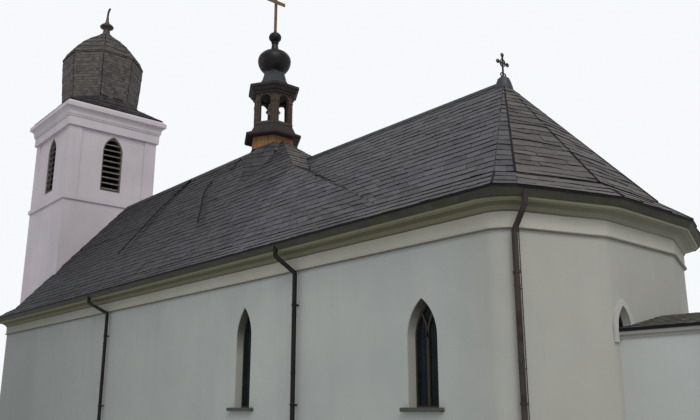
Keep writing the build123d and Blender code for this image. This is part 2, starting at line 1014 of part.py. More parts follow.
finial_foot = helmet_levels[-1][0]
with BuildPart() as tower_finial:
    with BuildSketch(Plane.XZ):
        with BuildLine():
            Polyline(
                (0, 0),
                (250, 0),
                (215, 120),
                (190, 300),
                (260, 380),
                (390, 470),
                (400, 540),
                (300, 640),
                (150, 760),
                (95, 900),
                (70, 1180),
                (0, 1180),
                close=True,
            )
        make_face()
    revolve()
    with BuildLine() as bent_tip:
        Spline((0, 0, 1150), (15, 0, 1350), (110, 0, 1560), (260, 0, 1640))
    with BuildSketch(Plane(origin=(0, 0, 1150), z_dir=(0, 0, 1))):
        Circle(62)
    sweep(path=bent_tip.wires()[0])
tower_finial.part.locate(Location((tower_centre_x, 0, finial_foot)))
finish(tower_finial, "tower_finial")


# Turret on the nave ridge


base_wall = 140
with BuildPart() as turret_base:
    add(prism(outline(hexagon(turret_base_r)), kick_height, turret_base_top))
    add(
        prism(outline(hexagon(turret_base_r - base_wall)), kick_height, turret_base_top),
        mode=Mode.SUBTRACT,
    )
    add(roof_mass.part, mode=Mode.SUBTRACT)
finish(turret_base, "turret_base")

with BuildPart() as ridge_caps_trimmed:
    add(ridge_caps.part)
    add(prism(outline(hexagon(turret_base_r)), 0, turret_base_top), mode=Mode.SUBTRACT)
finish(ridge_caps_trimmed, "ridge_caps")

with BuildPart() as turret_skirt:
    add(
        hexagonal(
            (
                (turret_base_top, turret_skirt_r - 70),
                (turret_base_top + 45, turret_skirt_r),
                (turret_base_top + 130, turret_skirt_r),
                (turret_base_top + 240, turret_body_r + 170),
                (turret_skirt_top, turret_body_r + 20),
            )
        )
    )
finish(turret_skirt, "turret_skirt")

lantern_wall = 150
lantern_opening = 460
with BuildPart() as turret_lantern:
    add(prism(outline(hexagon(turret_body_r)), turret_skirt_top, turret_head))
    add(
        prism(outline(hexagon(turret_body_r - lantern_wall)), turret_skirt_top, turret_head),
        mode=Mode.SUBTRACT,
    )
    for turn in (0, 60, 120):
        through = wall_face(turret_x, 0, turret_skirt_top, turn)
        arch_spring = turret_head - turret_skirt_top - lantern_opening / 2 - 60
        with BuildSketch(through):
            with Locations((0, arch_spring / 2)):
                Rectangle(lantern_opening, arch_spring)
            with Locations((0, arch_spring)):
                Circle(lantern_opening / 2)
        extrude(amount=turret_body_r, both=True, mode=Mode.SUBTRACT)
finish(turret_lantern, "turret_lantern")

bell_drop = 150
with BuildPart() as turret_bell:
    with BuildSketch(Plane.XZ):
        with BuildLine():
            Polyline(
                (0, 0),
                (40, 0),
                (40, -bell_drop),
                (150, -bell_drop - 30),
                (190, -bell_drop - 90),
                (215, -bell_drop - 300),
                (300, -bell_drop - 430),
                (262, -bell_drop - 430),
                (185, -bell_drop - 300),
                (160, -bell_drop - 100),
                (120, -bell_drop - 60),
                (0, -bell_drop - 60),
                close=True,
            )
        make_face()
    revolve()
turret_bell.part.locate(Location((turret_x, 0, turret_head)))
finish(turret_bell, "turret_bell")

with BuildPart() as turret_cornice:
    add(
        hexagonal(
            (
                (turret_head, turret_body_r + 85),
                (turret_head + 75, turret_body_r + 95),
                (turret_head + 100, turret_body_r + 150),
                (turret_cornice_top - 125, turret_cornice_r - 50),
                (turret_cornice_top - 105, turret_cornice_r),
                (turret_cornice_top, turret_cornice_r),
            )
        )
    )
finish(turret_cornice, "turret_cornice")

with BuildPart() as turret_cap:
    add(
        hexagonal(
            (
                (turret_cornice_top, turret_cornice_r - 40),
                (turret_cornice_top + 80, turret_cap_foot_r),
                (turret_cornice_top + 340, turret_cap_top_r + 110),
                (turret_cap_top, turret_cap_top_r),
            )
        )
    )
finish(turret_cap, "turret_cap")

# Onion and ball: rounded solids about the turret's axis, above the cap
onion_centre = 560
onion_r = 670
onion_under = 650
onion_over = 480
onion_foot_r = 440
neck_foot_r = 165
neck_r = 115
ring_r = 150
ring_depth = 45
ball_centre = 1632
ball_r = 258
ball_rise = 225
finial_rise = 1900


def belly(centre, radius, under, over, turns):
    """Profile points of a rounded solid, from a turn above its lowest point upward."""
    points = []
    for turn in turns:
        lift = -math.cos(math.radians(turn))
        points.append(
            (radius * math.sin(math.radians(turn)), centre + lift * (over if lift > 0 else under))
        )
    return points


onion_foot_turn = math.degrees(math.asin(onion_foot_r / onion_r))
with BuildPart() as turret_onion:
    with BuildSketch(Plane.XZ):
        with BuildLine():
            onion = belly(onion_centre, onion_r, onion_under, onion_over, range(45, 166, 8))
            onion_foot = belly(onion_centre, onion_r, onion_under, onion_over, [onion_foot_turn])
            ball = belly(ball_centre, ball_r, ball_rise, ball_rise, range(30, 168, 12))
            neck_foot = onion_centre + onion_over
            ring_foot = ball_centre - ball_rise - ring_depth
            Polyline(
                (0, 0),
                (onion_foot_r - 40, 0),
                *onion_foot,
                *onion,
                (neck_foot_r, neck_foot),
                (neck_r, ring_foot),
                (ring_r, ring_foot),
                (ring_r, ring_foot + ring_depth),
                *ball,
                (neck_r / 2, ball_centre + ball_rise),
                (neck_r / 2, finial_rise),
                (0, finial_rise),
                close=True,
            )
        make_face()
    revolve()
turret_onion.part.locate(Location((turret_x, 0, turret_cap_top)))
finish(turret_onion, "turret_onion")


# Crosses


def flat_cross(foot, height, arm_height, half_span, post, arm, thick):
    """Latin cross across the church's axis."""
    with BuildPart() as cross:
        with BuildSketch(Plane(origin=foot, x_dir=(0, 1, 0), z_dir=(1, 0, 0))):
            with Locations((0, height / 2)):
                Rectangle(post, height)
            with Locations((0, arm_height)):
                Rectangle(2 * half_span, arm)
        extrude(amount=thick / 2, both=True)
    return cross.part


turret_cross_height = 1900
turret_arm_height = 1370
with BuildPart() as turret_cross:
    add(
        flat_cross(
            (turret_x, 0, turret_cap_top + finial_rise),
            turret_cross_height,
            turret_arm_height,
            450,
            108,
            130,
            60,
        )
    )
finish(turret_cross, "turret_cross")

cap_foot = chancel_ridge - 330
cap_head = chancel_ridge + 180
with BuildPart() as apse_cap:
    with BuildSketch(Plane.XZ):
        with BuildLine():
            Polyline(
                (0, cap_foot),
                (270, cap_foot),
                (255, chancel_ridge - 170),
                (215, chancel_ridge - 30),
                (170, cap_head - 80),
                (80, cap_head),
                (0, cap_head),
                close=True,
            )
        make_face()
    revolve()
apse_cap.part.locate(Location((apex_x, 0, 0)))
with BuildPart() as apse_cap_seated:
    add(apse_cap.part)
    add(roof_mass.part, mode=Mode.SUBTRACT)
    add(ridge_caps.part, mode=Mode.SUBTRACT)
finish(apse_cap_seated, "apse_cap")

apse_cross_height = 680
apse_arm_height = 430
apse_half_span = 215
scroll_r = 62
scroll_bar = 22
with BuildPart() as apse_cross:
    add(
        flat_cross(
            (apex_x, 0, cap_head), apse_cross_height, apse_arm_height, apse_half_span, 46, 46, 36
        )
    )
    with BuildSketch(Plane(origin=(apex_x, 0, cap_head), x_dir=(0, 1, 0), z_dir=(1, 0, 0))):
        with Locations(
            (0, apse_cross_height),
            (-apse_half_span, apse_arm_height),
            (apse_half_span, apse_arm_height),
            (-scroll_r, scroll_r),
            (scroll_r, scroll_r),
        ):
            Circle(scroll_r)
            Circle(scroll_r - scroll_bar, mode=Mode.SUBTRACT)
        with Locations((0, apse_arm_height)):
            Circle(2 * scroll_r)
            Circle(2 * scroll_r - scroll_bar, mode=Mode.SUBTRACT)
    extrude(amount=15, both=True)
finish(apse_cross, "apse_cross")


# Annex: three walls against the apse, a low gabled roof and a small cornice
annex_start_x = 15700
annex_middle = (annex_south_y + annex_north_y) / 2
annex_half = (annex_north_y - annex_south_y) / 2
annex_rise = annex_half * math.tan(math.radians(annex_pitch))
annex_roof_thick = 60
annex_overhang = 60
annex_band_reach = 50
annex_band_depth = 150
body_block = prism(rounded_body(0), 0, wall_top)

with BuildSketch(Plane.YZ) as annex_gable:
    with BuildLine():
        Polyline(
            (annex_south_y, 0),
            (annex_north_y, 0),
            (annex_north_y, annex_top),
            (annex_middle, annex_top + annex_rise),
            (annex_south_y, annex_top),
            close=True,
        )
    make_face()


def annex_piece(x_low, x_high, y_low, y_high):
    """Wall of the annex on a plan rectangle, under the roof slopes and clear of the apse."""
    with BuildPart() as wall:
        with BuildSketch(Plane.YZ.offset(x_low)):
            add(annex_gable.sketch_local)
        extrude(amount=x_high - x_low)
        region = [(x_low, y_low), (x_high, y_low), (x_high, y_high), (x_low, y_high)]
        add(prism(outline(region), 0, wall_top), mode=Mode.INTERSECT)
        add(body_block, mode=Mode.SUBTRACT)
        add(apse_window_surround.part, mode=Mode.SUBTRACT)
    return wall


annex_inner_south = annex_south_y + annex_wall
annex_inner_north = annex_north_y - annex_wall
annex_south_wall = annex_piece(annex_start_x, annex_east, annex_south_y, annex_inner_south)
finish(annex_south_wall, "annex_south_wall")
annex_north_wall = annex_piece(annex_start_x, annex_east, annex_inner_north, annex_north_y)
finish(annex_north_wall, "annex_north_wall")
annex_east_wall = annex_piece(
    annex_east - annex_wall, annex_east, annex_inner_south, annex_inner_north
)
finish(annex_east_wall, "annex_east_wall")

annex_slope = math.tan(math.radians(annex_pitch))
roof_low = annex_top - annex_overhang * annex_slope
with BuildPart() as annex_roof:
    with BuildSketch(Plane.YZ.offset(annex_start_x)):
        with BuildLine():
            Polyline(
                (annex_south_y - annex_overhang, roof_low),
                (annex_middle, annex_top + annex_rise),
                (annex_north_y + annex_overhang, roof_low),
                (annex_north_y + annex_overhang, roof_low + annex_roof_thick),
                (annex_middle, annex_top + annex_rise + annex_roof_thick),
                (annex_south_y - annex_overhang, roof_low + annex_roof_thick),
                close=True,
            )
        make_face()
    extrude(amount=annex_east + annex_overhang - annex_start_x)
    add(body_block, mode=Mode.SUBTRACT)
    add(apse_window_surround.part, mode=Mode.SUBTRACT)
finish(annex_roof, "annex_roof")

with BuildPart() as annex_cornice:
    for x_high, reach, depth in (
        (annex_east + annex_band_reach, annex_band_reach, annex_band_depth / 2),
        (annex_east + annex_band_reach / 2, annex_band_reach / 2, annex_band_depth),
    ):
        with BuildSketch(Plane.XY.offset(annex_top - annex_band_reach * annex_slope - depth)):
            with BuildLine():
                Polyline(
                    (annex_start_x, annex_south_y - reach),
                    (x_high, annex_south_y - reach),
                    (x_high, annex_north_y + reach),
                    (annex_start_x, annex_north_y + reach),
                    close=True,
                )
            make_face()
        extrude(amount=depth)
    with BuildSketch():
        with BuildLine():
            Polyline(
                (annex_start_x, annex_south_y),
                (annex_east, annex_south_y),
                (annex_east, annex_north_y),
                (annex_start_x, annex_north_y),
                close=True,
            )
        make_face()
    extrude(amount=wall_top, mode=Mode.SUBTRACT)
    add(body_block, mode=Mode.SUBTRACT)
    add(apse_window_surround.part, mode=Mode.SUBTRACT)
finish(annex_cornice, "annex_cornice")
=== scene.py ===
import math
import random

import bmesh
import bpy
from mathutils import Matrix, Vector


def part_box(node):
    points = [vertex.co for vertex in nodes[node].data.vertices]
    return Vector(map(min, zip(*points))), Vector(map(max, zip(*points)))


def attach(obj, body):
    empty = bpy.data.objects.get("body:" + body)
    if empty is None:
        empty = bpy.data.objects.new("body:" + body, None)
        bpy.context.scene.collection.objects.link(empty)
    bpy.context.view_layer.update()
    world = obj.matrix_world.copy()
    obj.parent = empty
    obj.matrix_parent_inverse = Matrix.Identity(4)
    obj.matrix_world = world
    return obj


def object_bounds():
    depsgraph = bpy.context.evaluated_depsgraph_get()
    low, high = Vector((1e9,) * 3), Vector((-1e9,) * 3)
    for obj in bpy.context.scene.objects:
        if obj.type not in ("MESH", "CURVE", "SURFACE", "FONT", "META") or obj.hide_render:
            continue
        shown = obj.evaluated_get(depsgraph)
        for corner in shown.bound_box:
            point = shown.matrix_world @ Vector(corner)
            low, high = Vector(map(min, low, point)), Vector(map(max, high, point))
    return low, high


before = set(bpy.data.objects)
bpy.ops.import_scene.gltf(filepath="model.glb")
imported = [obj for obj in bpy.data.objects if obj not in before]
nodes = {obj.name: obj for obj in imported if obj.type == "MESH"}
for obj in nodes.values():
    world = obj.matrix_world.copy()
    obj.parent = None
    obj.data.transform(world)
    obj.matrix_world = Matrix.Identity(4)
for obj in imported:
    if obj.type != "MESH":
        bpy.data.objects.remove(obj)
cad_low, cad_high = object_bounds()
random.seed(7)

# Camera at the photo's place: a standing eye south-east of the church

EYE = (25.0, -16.37, 1.65)
HEADING = math.radians(139.08)
PITCH = math.radians(14.6)
LENS = 39.09
SENSOR_WIDTH = 36.0
FARTHEST = 500


def add_camera():
    level = math.cos(PITCH)
    forward = Vector((math.cos(HEADING) * level, math.sin(HEADING) * level, math.sin(PITCH)))
    data = bpy.data.cameras.new("camera")
    data.sensor_width = SENSOR_WIDTH
    data.lens = LENS
    data.clip_end = FARTHEST
    cam = bpy.data.objects.new("camera", data)
    cam.location = EYE
    cam.rotation_mode = "QUATERNION"
    cam.rotation_quaternion = forward.to_track_quat("-Z", "Y")
    bpy.context.scene.collection.objects.link(cam)
    bpy.context.scene.camera = cam


add_camera()

# Places and directions on the church

EAST, UP = Vector((1, 0, 0)), Vector((0, 0, 1))
# the tower's axis, and how far out from it walls and reveals get painted shade
TOWER_X, TOWER_DARK = -16.56, 2.2
# outer faces of the apse and of the long walls, and where the long walls end
APSE_X, WALL_Y, LONG_WALL_END = 16.4, 4.01, 15.0
# heights over which the painted shade in the window reveals deepens, and above which the apse's
# slates darken
WINDOW_HEADS, PALE_EAVE = (3.15, 3.9), 6.5

# Materials

# painted shade for the window reveals and their heads, and for inside the belfry; the lichen's
# colour
REVEAL_SHADE, CROWN_SHADE = (0.205, 0.180, 0.150), (0.030, 0.027, 0.020)
INSIDE_SHADE, LICHEN_TONE = (0.020, 0.018, 0.016), (0.27, 0.28, 0.24)


class Maker:
    """A material's nodes, wired one call at a time."""

    def __init__(self, name, roughness=0.8, metallic=0.0):
        self.mat = bpy.data.materials.new(name)
        self.mat.use_nodes = True
        self.tree = self.mat.node_tree
        self.tree.nodes.clear()
        out = self.tree.nodes.new("ShaderNodeOutputMaterial")
        self.bsdf = self.tree.nodes.new("ShaderNodeBsdfPrincipled")
        self.tree.links.new(self.bsdf.outputs[0], out.inputs["Surface"])
        self.bsdf.inputs["Roughness"].default_value = roughness
        self.bsdf.inputs["Metallic"].default_value = metallic
        coords = self.tree.nodes.new("ShaderNodeTexCoord")
        self.coords = coords.outputs["Object"]

    def put(self, value, socket):
        """Link a socket, or set a number or a colour."""
        if isinstance(value, bpy.types.NodeSocket):
            self.tree.links.new(value, socket)
        elif isinstance(value, tuple) and len(value) == 3 and socket.type == "RGBA":
            socket.default_value = (*value, 1.0)
        else:
            socket.default_value = value

    def scaled(self, scale):
        """The piece's coordinates, stretched along each axis."""
        node = self.tree.nodes.new("ShaderNodeMapping")
        node.inputs["Scale"].default_value = scale
        self.tree.links.new(self.coords, node.inputs["Vector"])
        return node.outputs[0]

    def noise(self, scale, detail=4.0, vector=None, roughness=0.55):
        node = self.tree.nodes.new("ShaderNodeTexNoise")
        node.inputs["Scale"].default_value = scale
        node.inputs["Detail"].default_value = detail
        node.inputs["Roughness"].default_value = roughness
        self.put(vector or self.coords, node.inputs["Vector"])
        return node.outputs["Fac"]

    def ramp(self, value, low, high, a=0.0, b=1.0):
        """Straight change from a at low to b at high."""
        node = self.tree.nodes.new("ShaderNodeMapRange")
        node.clamp = True
        self.put(value, node.inputs["Value"])
        node.inputs["From Min"].default_value = low
        node.inputs["From Max"].default_value = high
        node.inputs["To Min"].default_value = a
        node.inputs["To Max"].default_value = b
        return node.outputs[0]

    def math(self, op, a, b):
        node = self.tree.nodes.new("ShaderNodeMath")
        node.operation = op
        self.put(a, node.inputs[0])
        self.put(b, node.inputs[1])
        return node.outputs[0]

    def mix(self, factor, a, b):
        node = self.tree.nodes.new("ShaderNodeMix")
        node.data_type = "RGBA"
        self.put(factor, node.inputs[0])
        self.put(a, node.inputs[6])
        self.put(b, node.inputs[7])
        return node.outputs[2]

    def axis(self, number):
        node = self.tree.nodes.new("ShaderNodeSeparateXYZ")
        self.tree.links.new(self.coords, node.inputs[0])
        return node.outputs[number]

    def waved(self, number, scale, detail, reach):
        """Place along one axis, its level lines waved by a noise."""
        wave = self.math("MULTIPLY", self.noise(scale, detail), reach)
        return self.math("ADD", self.axis(number), wave)

    def island(self):
        """A value of its own for each loose part of the mesh."""
        return self.tree.nodes.new("ShaderNodeNewGeometry").outputs["Random Per Island"]

    def bump(self, height, strength, distance):
        node = self.tree.nodes.new("ShaderNodeBump")
        node.inputs["Strength"].default_value = strength
        node.inputs["Distance"].default_value = distance
        self.put(height, node.inputs["Height"])
        self.tree.links.new(node.outputs[0], self.bsdf.inputs["Normal"])

    def colour(self, value):
        self.put(value, self.bsdf.inputs["Base Color"])


def shade(colour, share):
    """A colour made darker or paler."""
    return tuple(min(1.0, share * c) for c in colour)


def plaster(
    name, base, dark, algae=None, reveals=None, west_damp_and_shade=0.0, warm_east=None, bands=(), hollow=None
):
    """Painted lime render with trowel swell, faint stains and drips.

    algae is the band of heights over which it spreads with its colour and strength; reveals is
    the wall's distance from the axis, behind which the window reveals get painted shade, deepest
    at their heads; a darkening toward the west is partly damp and partly painted shade of trees;
    warm_east is the tone toward the apse; bands are strips between two heights of paint and
    dirt, some of them painted shade or a painted highlight; hollow is the middle and half width
    of a square within which walls and reveals get painted shade.
    """
    m = Maker(name, roughness=0.88)
    cloud = m.ramp(m.noise(0.32, 5.0), 0.32, 0.72)
    fine = m.ramp(m.noise(2.3, 6.0), 0.35, 0.75)
    tone = m.mix(cloud, base, dark)
    if warm_east:
        toward = m.ramp(m.waved(0, 0.5, 3.0, 1.2), 14.6, 16.2)
        tone = m.mix(toward, tone, m.mix(cloud, warm_east, shade(warm_east, 0.84)))
    tone = m.mix(m.math("MULTIPLY", fine, 0.25), tone, shade(base, 0.86))
    drips = m.ramp(m.noise(1.0, 4.0, m.scaled((1.7, 1.7, 0.12))), 0.45, 0.85)
    tone = m.mix(m.math("MULTIPLY", drips, 0.22), tone, shade(dark, 0.78))
    foot = m.ramp(m.waved(2, 1.7, 4.0, 0.5), 0.25, 1.1, 1.0, 0.0)
    tone = m.mix(m.math("MULTIPLY", foot, 0.45), tone, shade(dark, 0.62))
    # darker toward the west: partly damp, partly painted shade of the trees
    if west_damp_and_shade:
        west = m.ramp(m.waved(0, 0.3, 3.0, 5.0), -10.0, 9.0, west_damp_and_shade, 0.0)
        tone = m.mix(west, tone, shade(dark, 0.35))
    # painted shade in the window reveals, deepest at their heads
    if reveals:
        depth = m.math("ABSOLUTE", m.axis(1), 0.0)
        along = m.ramp(m.axis(0), LONG_WALL_END - 0.1, LONG_WALL_END, 1.0, 0.0)
        inside = m.math("MULTIPLY", m.ramp(depth, reveals - 0.03, reveals - 0.01, 1.0, 0.0), along)
        tone = m.mix(m.math("MULTIPLY", inside, 0.6), tone, REVEAL_SHADE)
        crown = m.math("MULTIPLY", inside, m.ramp(m.axis(2), *WINDOW_HEADS, 0.0, 0.9))
        tone = m.mix(crown, tone, CROWN_SHADE)
    if algae:
        low, high, colour, strength = algae
        runs = m.math("MULTIPLY", m.noise(0.9, 5.0, m.scaled((1.0, 1.0, 0.35))), 0.3)
        reach = m.ramp(m.math("ADD", m.axis(2), runs), low + 0.15, high + 0.15)
        patch = m.ramp(m.noise(0.55, 4.0), 0.3, 0.62, 0.7, 1.0)
        tone = m.mix(m.math("MULTIPLY", m.math("MULTIPLY", reach, patch), strength), tone, colour)
    # strips of paint and dirt at set heights, with painted shade and highlight among them
    if bands:
        level = m.waved(2, 2.0, 3.0, 0.016)
        north_east = m.math("ADD", m.axis(0), m.axis(1))
    for low, high, colour, strength in bands:
        above = m.ramp(level, low + 0.004, low + 0.012)
        below = m.ramp(level, high + 0.004, high + 0.012, 1.0, 0.0)
        fade = m.ramp(north_east, 12.5, 17.0, strength, 0.5 * strength)
        tone = m.mix(m.math("MULTIPLY", m.math("MULTIPLY", above, below), fade), tone, colour)
    # painted shade inside the belfry, so the louvre gaps read dark
    if hollow:
        middle, half = hollow
        beside = m.math("ABSOLUTE", m.math("SUBTRACT", m.axis(0), middle), 0.0)
        from_middle = m.math("MAXIMUM", beside, m.math("ABSOLUTE", m.axis(1), 0.0))
        inside = m.ramp(from_middle, half + 0.005, half + 0.03, 1.0, 0.0)
        tone = m.mix(inside, tone, INSIDE_SHADE)
    m.colour(tone)
    grit = m.math("MULTIPLY", m.noise(28.0, 5.0), 0.22)
    m.bump(m.math("ADD", m.noise(1.2, 3.0), grit), 0.35, 0.02)
    return m.mat


def slates(name, a, b, warm, lichen=0.2, west_damp_and_shade=0.0, shine=0.5, pale_foot=None):
    """Split slate: each piece has its own tone, with fine layering and some lichen.

    pale_foot is the height of an eave over which the slates are paler.
    """
    m = Maker(name, roughness=0.62)
    pick = m.island()
    tone = m.mix(pick, a, b)
    tone = m.mix(m.ramp(m.noise(0.35, 3.0), 0.45, 0.7, 0.0, 0.6), tone, warm)
    grain = m.noise(5.0, 8.0, m.scaled((1.0, 1.0, 2.5)), 0.65)
    tone = m.mix(m.ramp(grain, 0.4, 0.75, 0.0, 0.55), tone, shade(b, 1.7))
    spots = m.ramp(m.noise(9.0, 6.0), 0.66, 0.76, 0.0, lichen)
    tone = m.mix(spots, tone, LICHEN_TONE)
    # darker toward the west: partly damp, partly painted shade of the trees
    if west_damp_and_shade:
        west = m.ramp(m.waved(0, 0.3, 3.0, 4.0), -9.0, 7.0, west_damp_and_shade, 0.0)
        tone = m.mix(west, tone, shade(a, 0.25))
    if pale_foot:
        low = m.ramp(m.waved(2, 0.8, 4.0, 0.8), pale_foot, pale_foot + 0.7, 0.6, 0.0)
        tone = m.mix(low, tone, shade(b, 1.45))
    m.colour(tone)
    m.put(m.ramp(grain, 0.3, 0.8, 0.5, 0.78), m.bsdf.inputs["Roughness"])
    m.bsdf.inputs["Specular IOR Level"].default_value = shine
    m.bump(m.math("ADD", grain, m.math("MULTIPLY", m.noise(40.0, 4.0), 0.3)), 0.5, 0.006)
    return m.mat


def wood(name, base, dark, stretch=(18.0, 18.0, 1.6)):
    """Weathered painted boards with grain running up the piece."""
    m = Maker(name, roughness=0.72)
    grain = m.noise(1.0, 7.0, m.scaled(stretch), 0.6)
    tone = m.mix(m.ramp(grain, 0.35, 0.7), base, dark)
    worn = m.ramp(m.noise(3.5, 5.0), 0.56, 0.72, 0.0, 0.5)
    tone = m.mix(worn, tone, shade(base, 1.5))
    m.colour(tone)
    m.bump(grain, 0.4, 0.004)
    return m.mat


def metal(name, base, patch, roughness, metallic, patch_low=0.5, patch_high=0.68):
    """Weathered sheet: dull patches, streaks and small dents."""
    m = Maker(name, roughness=roughness, metallic=metallic)
    blotch = m.ramp(m.noise(2.6, 6.0), patch_low, patch_high)
    streak = m.ramp(m.noise(1.0, 5.0, m.scaled((9.0, 9.0, 0.8))), 0.5, 0.72, 0.0, 0.5)
    tone = m.mix(blotch, base, patch)
    tone = m.mix(streak, tone, shade(base, 0.6))
    m.colour(tone)
    dullness = m.ramp(m.noise(6.0, 4.0), 0.3, 0.7, roughness - 0.08, min(1.0, roughness + 0.12))
    m.put(dullness, m.bsdf.inputs["Roughness"])
    m.bump(m.noise(7.0, 3.0), 0.25, 0.006)
    return m.mat


def pipe_metal():
    """Painted sheet, newer and browner at the apse's corner."""
    m = Maker("pipe_metal", roughness=0.6, metallic=0.1)
    m.bsdf.inputs["Specular IOR Level"].default_value = 0.2
    rust = m.ramp(m.noise(3.0, 6.0), 0.52, 0.7)
    plain = m.mix(rust, (0.007, 0.009, 0.008), (0.014, 0.012, 0.010))
    brown = m.mix(rust, (0.050, 0.041, 0.035), (0.024, 0.016, 0.013))
    tone = m.mix(m.ramp(m.axis(0), 15.0, 15.2), plain, brown)
    streak = m.ramp(m.noise(1.0, 5.0, m.scaled((22.0, 22.0, 0.7))), 0.48, 0.7, 0.0, 0.5)
    m.colour(m.mix(streak, tone, (0.014, 0.012, 0.011)))
    m.bump(m.noise(9.0, 3.0), 0.25, 0.004)
    return m.mat


def window_glass():
    """Dark leaded glass: cool panes with slightly different tones."""
    m = Maker("window_glass", roughness=0.12)
    pane = m.ramp(m.noise(2.2, 3.0), 0.35, 0.65)
    m.colour(m.mix(pane, (0.003, 0.006, 0.011), (0.006, 0.014, 0.011)))
    m.bsdf.inputs["Specular IOR Level"].default_value = 0.12
    m.bump(m.noise(11.0, 3.0), 0.3, 0.003)
    return m.mat


OLIVE = (0.085, 0.085, 0.034)
# cornice strips of paint and dirt, some of them painted shade or highlight: from, to, colour,
# strength
MOULD_BANDS = (
    # painted shadow under the foot bead
    (5.245, 5.283, (0.075, 0.068, 0.055), 0.8),
    # painted shade at the ledge under the cove
    (5.628, 5.662, (0.050, 0.048, 0.028), 0.85),
    # the olive cove, paler at its foot and darker at its top as painted shade
    (5.662, 5.735, (0.125, 0.120, 0.060), 0.85),
    (5.735, 5.805, (0.070, 0.068, 0.030), 0.9),
    # painted highlight along the top bead
    (5.805, 5.848, (0.160, 0.158, 0.075), 0.85),
    (5.848, 6.2, (0.075, 0.074, 0.042), 0.85),
)
WARM = (0.400, 0.392, 0.352)
MATS = {
    "plaster": plaster(
        "plaster",
        (0.432, 0.456, 0.434),
        (0.355, 0.385, 0.368),
        algae=(5.3, 6.2, OLIVE, 0.5),
        reveals=WALL_Y,
        west_damp_and_shade=0.6,
        warm_east=WARM,
    ),
    "cornice": plaster(
        "cornice_plaster",
        (0.52, 0.505, 0.45),
        (0.43, 0.42, 0.365),
        algae=(5.2, 5.9, OLIVE, 0.3),
        west_damp_and_shade=0.6,
        bands=MOULD_BANDS,
    ),
    "trim": plaster("trim_plaster", (0.46, 0.46, 0.43), (0.35, 0.355, 0.33)),
    "annex_trim": plaster("annex_trim_plaster", (0.28, 0.28, 0.26), (0.20, 0.205, 0.19)),
    "tower": plaster(
        "tower_plaster", (0.57, 0.515, 0.550), (0.46, 0.42, 0.45), hollow=(TOWER_X, TOWER_DARK)
    ),
    "annex": plaster("annex_plaster", (0.500, 0.524, 0.508), (0.425, 0.452, 0.437)),
    "stone": plaster("floor_stone", (0.075, 0.078, 0.070), (0.045, 0.048, 0.042)),
    "slate": slates(
        "slate", (0.022, 0.022, 0.026), (0.066, 0.064, 0.072), (0.050, 0.045, 0.045),
        west_damp_and_shade=0.9, shine=0.4,
    ),
    "chancel_slate": slates(
        "chancel_slate", (0.030, 0.030, 0.034), (0.080, 0.078, 0.086), (0.062, 0.055, 0.055)
    ),
    "shingle": slates(
        "shingle", (0.020, 0.018, 0.017), (0.100, 0.088, 0.080), (0.080, 0.064, 0.054),
        shine=0.4,
    ),
    "skirt": slates(
        "skirt_shingle", (0.014, 0.012, 0.013), (0.052, 0.044, 0.046), (0.050, 0.040, 0.040),
        lichen=0.1, shine=0.3,
    ),
    "mossy": slates(
        "mossy_shingle", (0.048, 0.047, 0.037), (0.112, 0.107, 0.086), (0.070, 0.072, 0.036),
        shine=0.3,
    ),
    "warm_slate": slates(
        "warm_slate", (0.032, 0.028, 0.028), (0.098, 0.088, 0.082), (0.085, 0.064, 0.052),
        lichen=0.3, shine=0.4, pale_foot=PALE_EAVE,
    ),
    # near-black: underlay, leads and hip caps, and painted shade under and between slates and along
    # the roof's seams
    "black_underlay_and_shade": slates(
        "black_underlay_and_shade", (0.008, 0.007, 0.008), (0.014, 0.013, 0.014), (0.012, 0.010, 0.009),
        lichen=0.0, shine=0.08,
    ),
    "dark_wood": wood("dark_wood", (0.024, 0.016, 0.013), (0.011, 0.007, 0.006)),
    "lantern_wood": wood("lantern_wood", (0.072, 0.043, 0.027), (0.028, 0.018, 0.013)),
    "ochre_wood": wood("ochre_wood", (0.31, 0.155, 0.055), (0.12, 0.062, 0.030)),
    "frame_wood": wood("frame_wood", (0.026, 0.018, 0.014), (0.013, 0.009, 0.007)),
    "louvre_wood": wood(
        "louvre_wood", (0.19, 0.155, 0.140), (0.085, 0.065, 0.056), stretch=(4.0, 4.0, 20.0)
    ),
    "bar_wood": wood("bar_wood", (0.040, 0.030, 0.013), (0.022, 0.016, 0.009)),
    "sheet": metal("sheet_metal", (0.016, 0.015, 0.017), (0.034, 0.031, 0.031), 0.5, 0.3),
    "pipe": pipe_metal(),
    "copper": metal(
        "dark_copper", (0.013, 0.011, 0.012), (0.055, 0.028, 0.018), 0.42, 0.55, 0.55, 0.7
    ),
    "lead": metal("lead_sheet", (0.052, 0.053, 0.058), (0.034, 0.034, 0.037), 0.55, 0.35),
    "brown_lead": metal("brown_lead", (0.080, 0.056, 0.052), (0.045, 0.034, 0.034), 0.55, 0.3),
    "gilt": metal("worn_gilt", (0.20, 0.135, 0.070), (0.080, 0.055, 0.036), 0.5, 0.7),
    "iron": metal("wrought_iron", (0.026, 0.023, 0.023), (0.065, 0.040, 0.032), 0.55, 0.5),
    "bell": metal("bell_metal", (0.36, 0.36, 0.34), (0.18, 0.17, 0.14), 0.4, 0.8),
    # dark olive boards, their paint darkened further as painted shade under the eaves
    "soffit": wood(
        "soffit_board", (0.046, 0.047, 0.028), (0.026, 0.027, 0.017), stretch=(1.6, 1.6, 5.0)
    ),
    "glass": window_glass(),
}

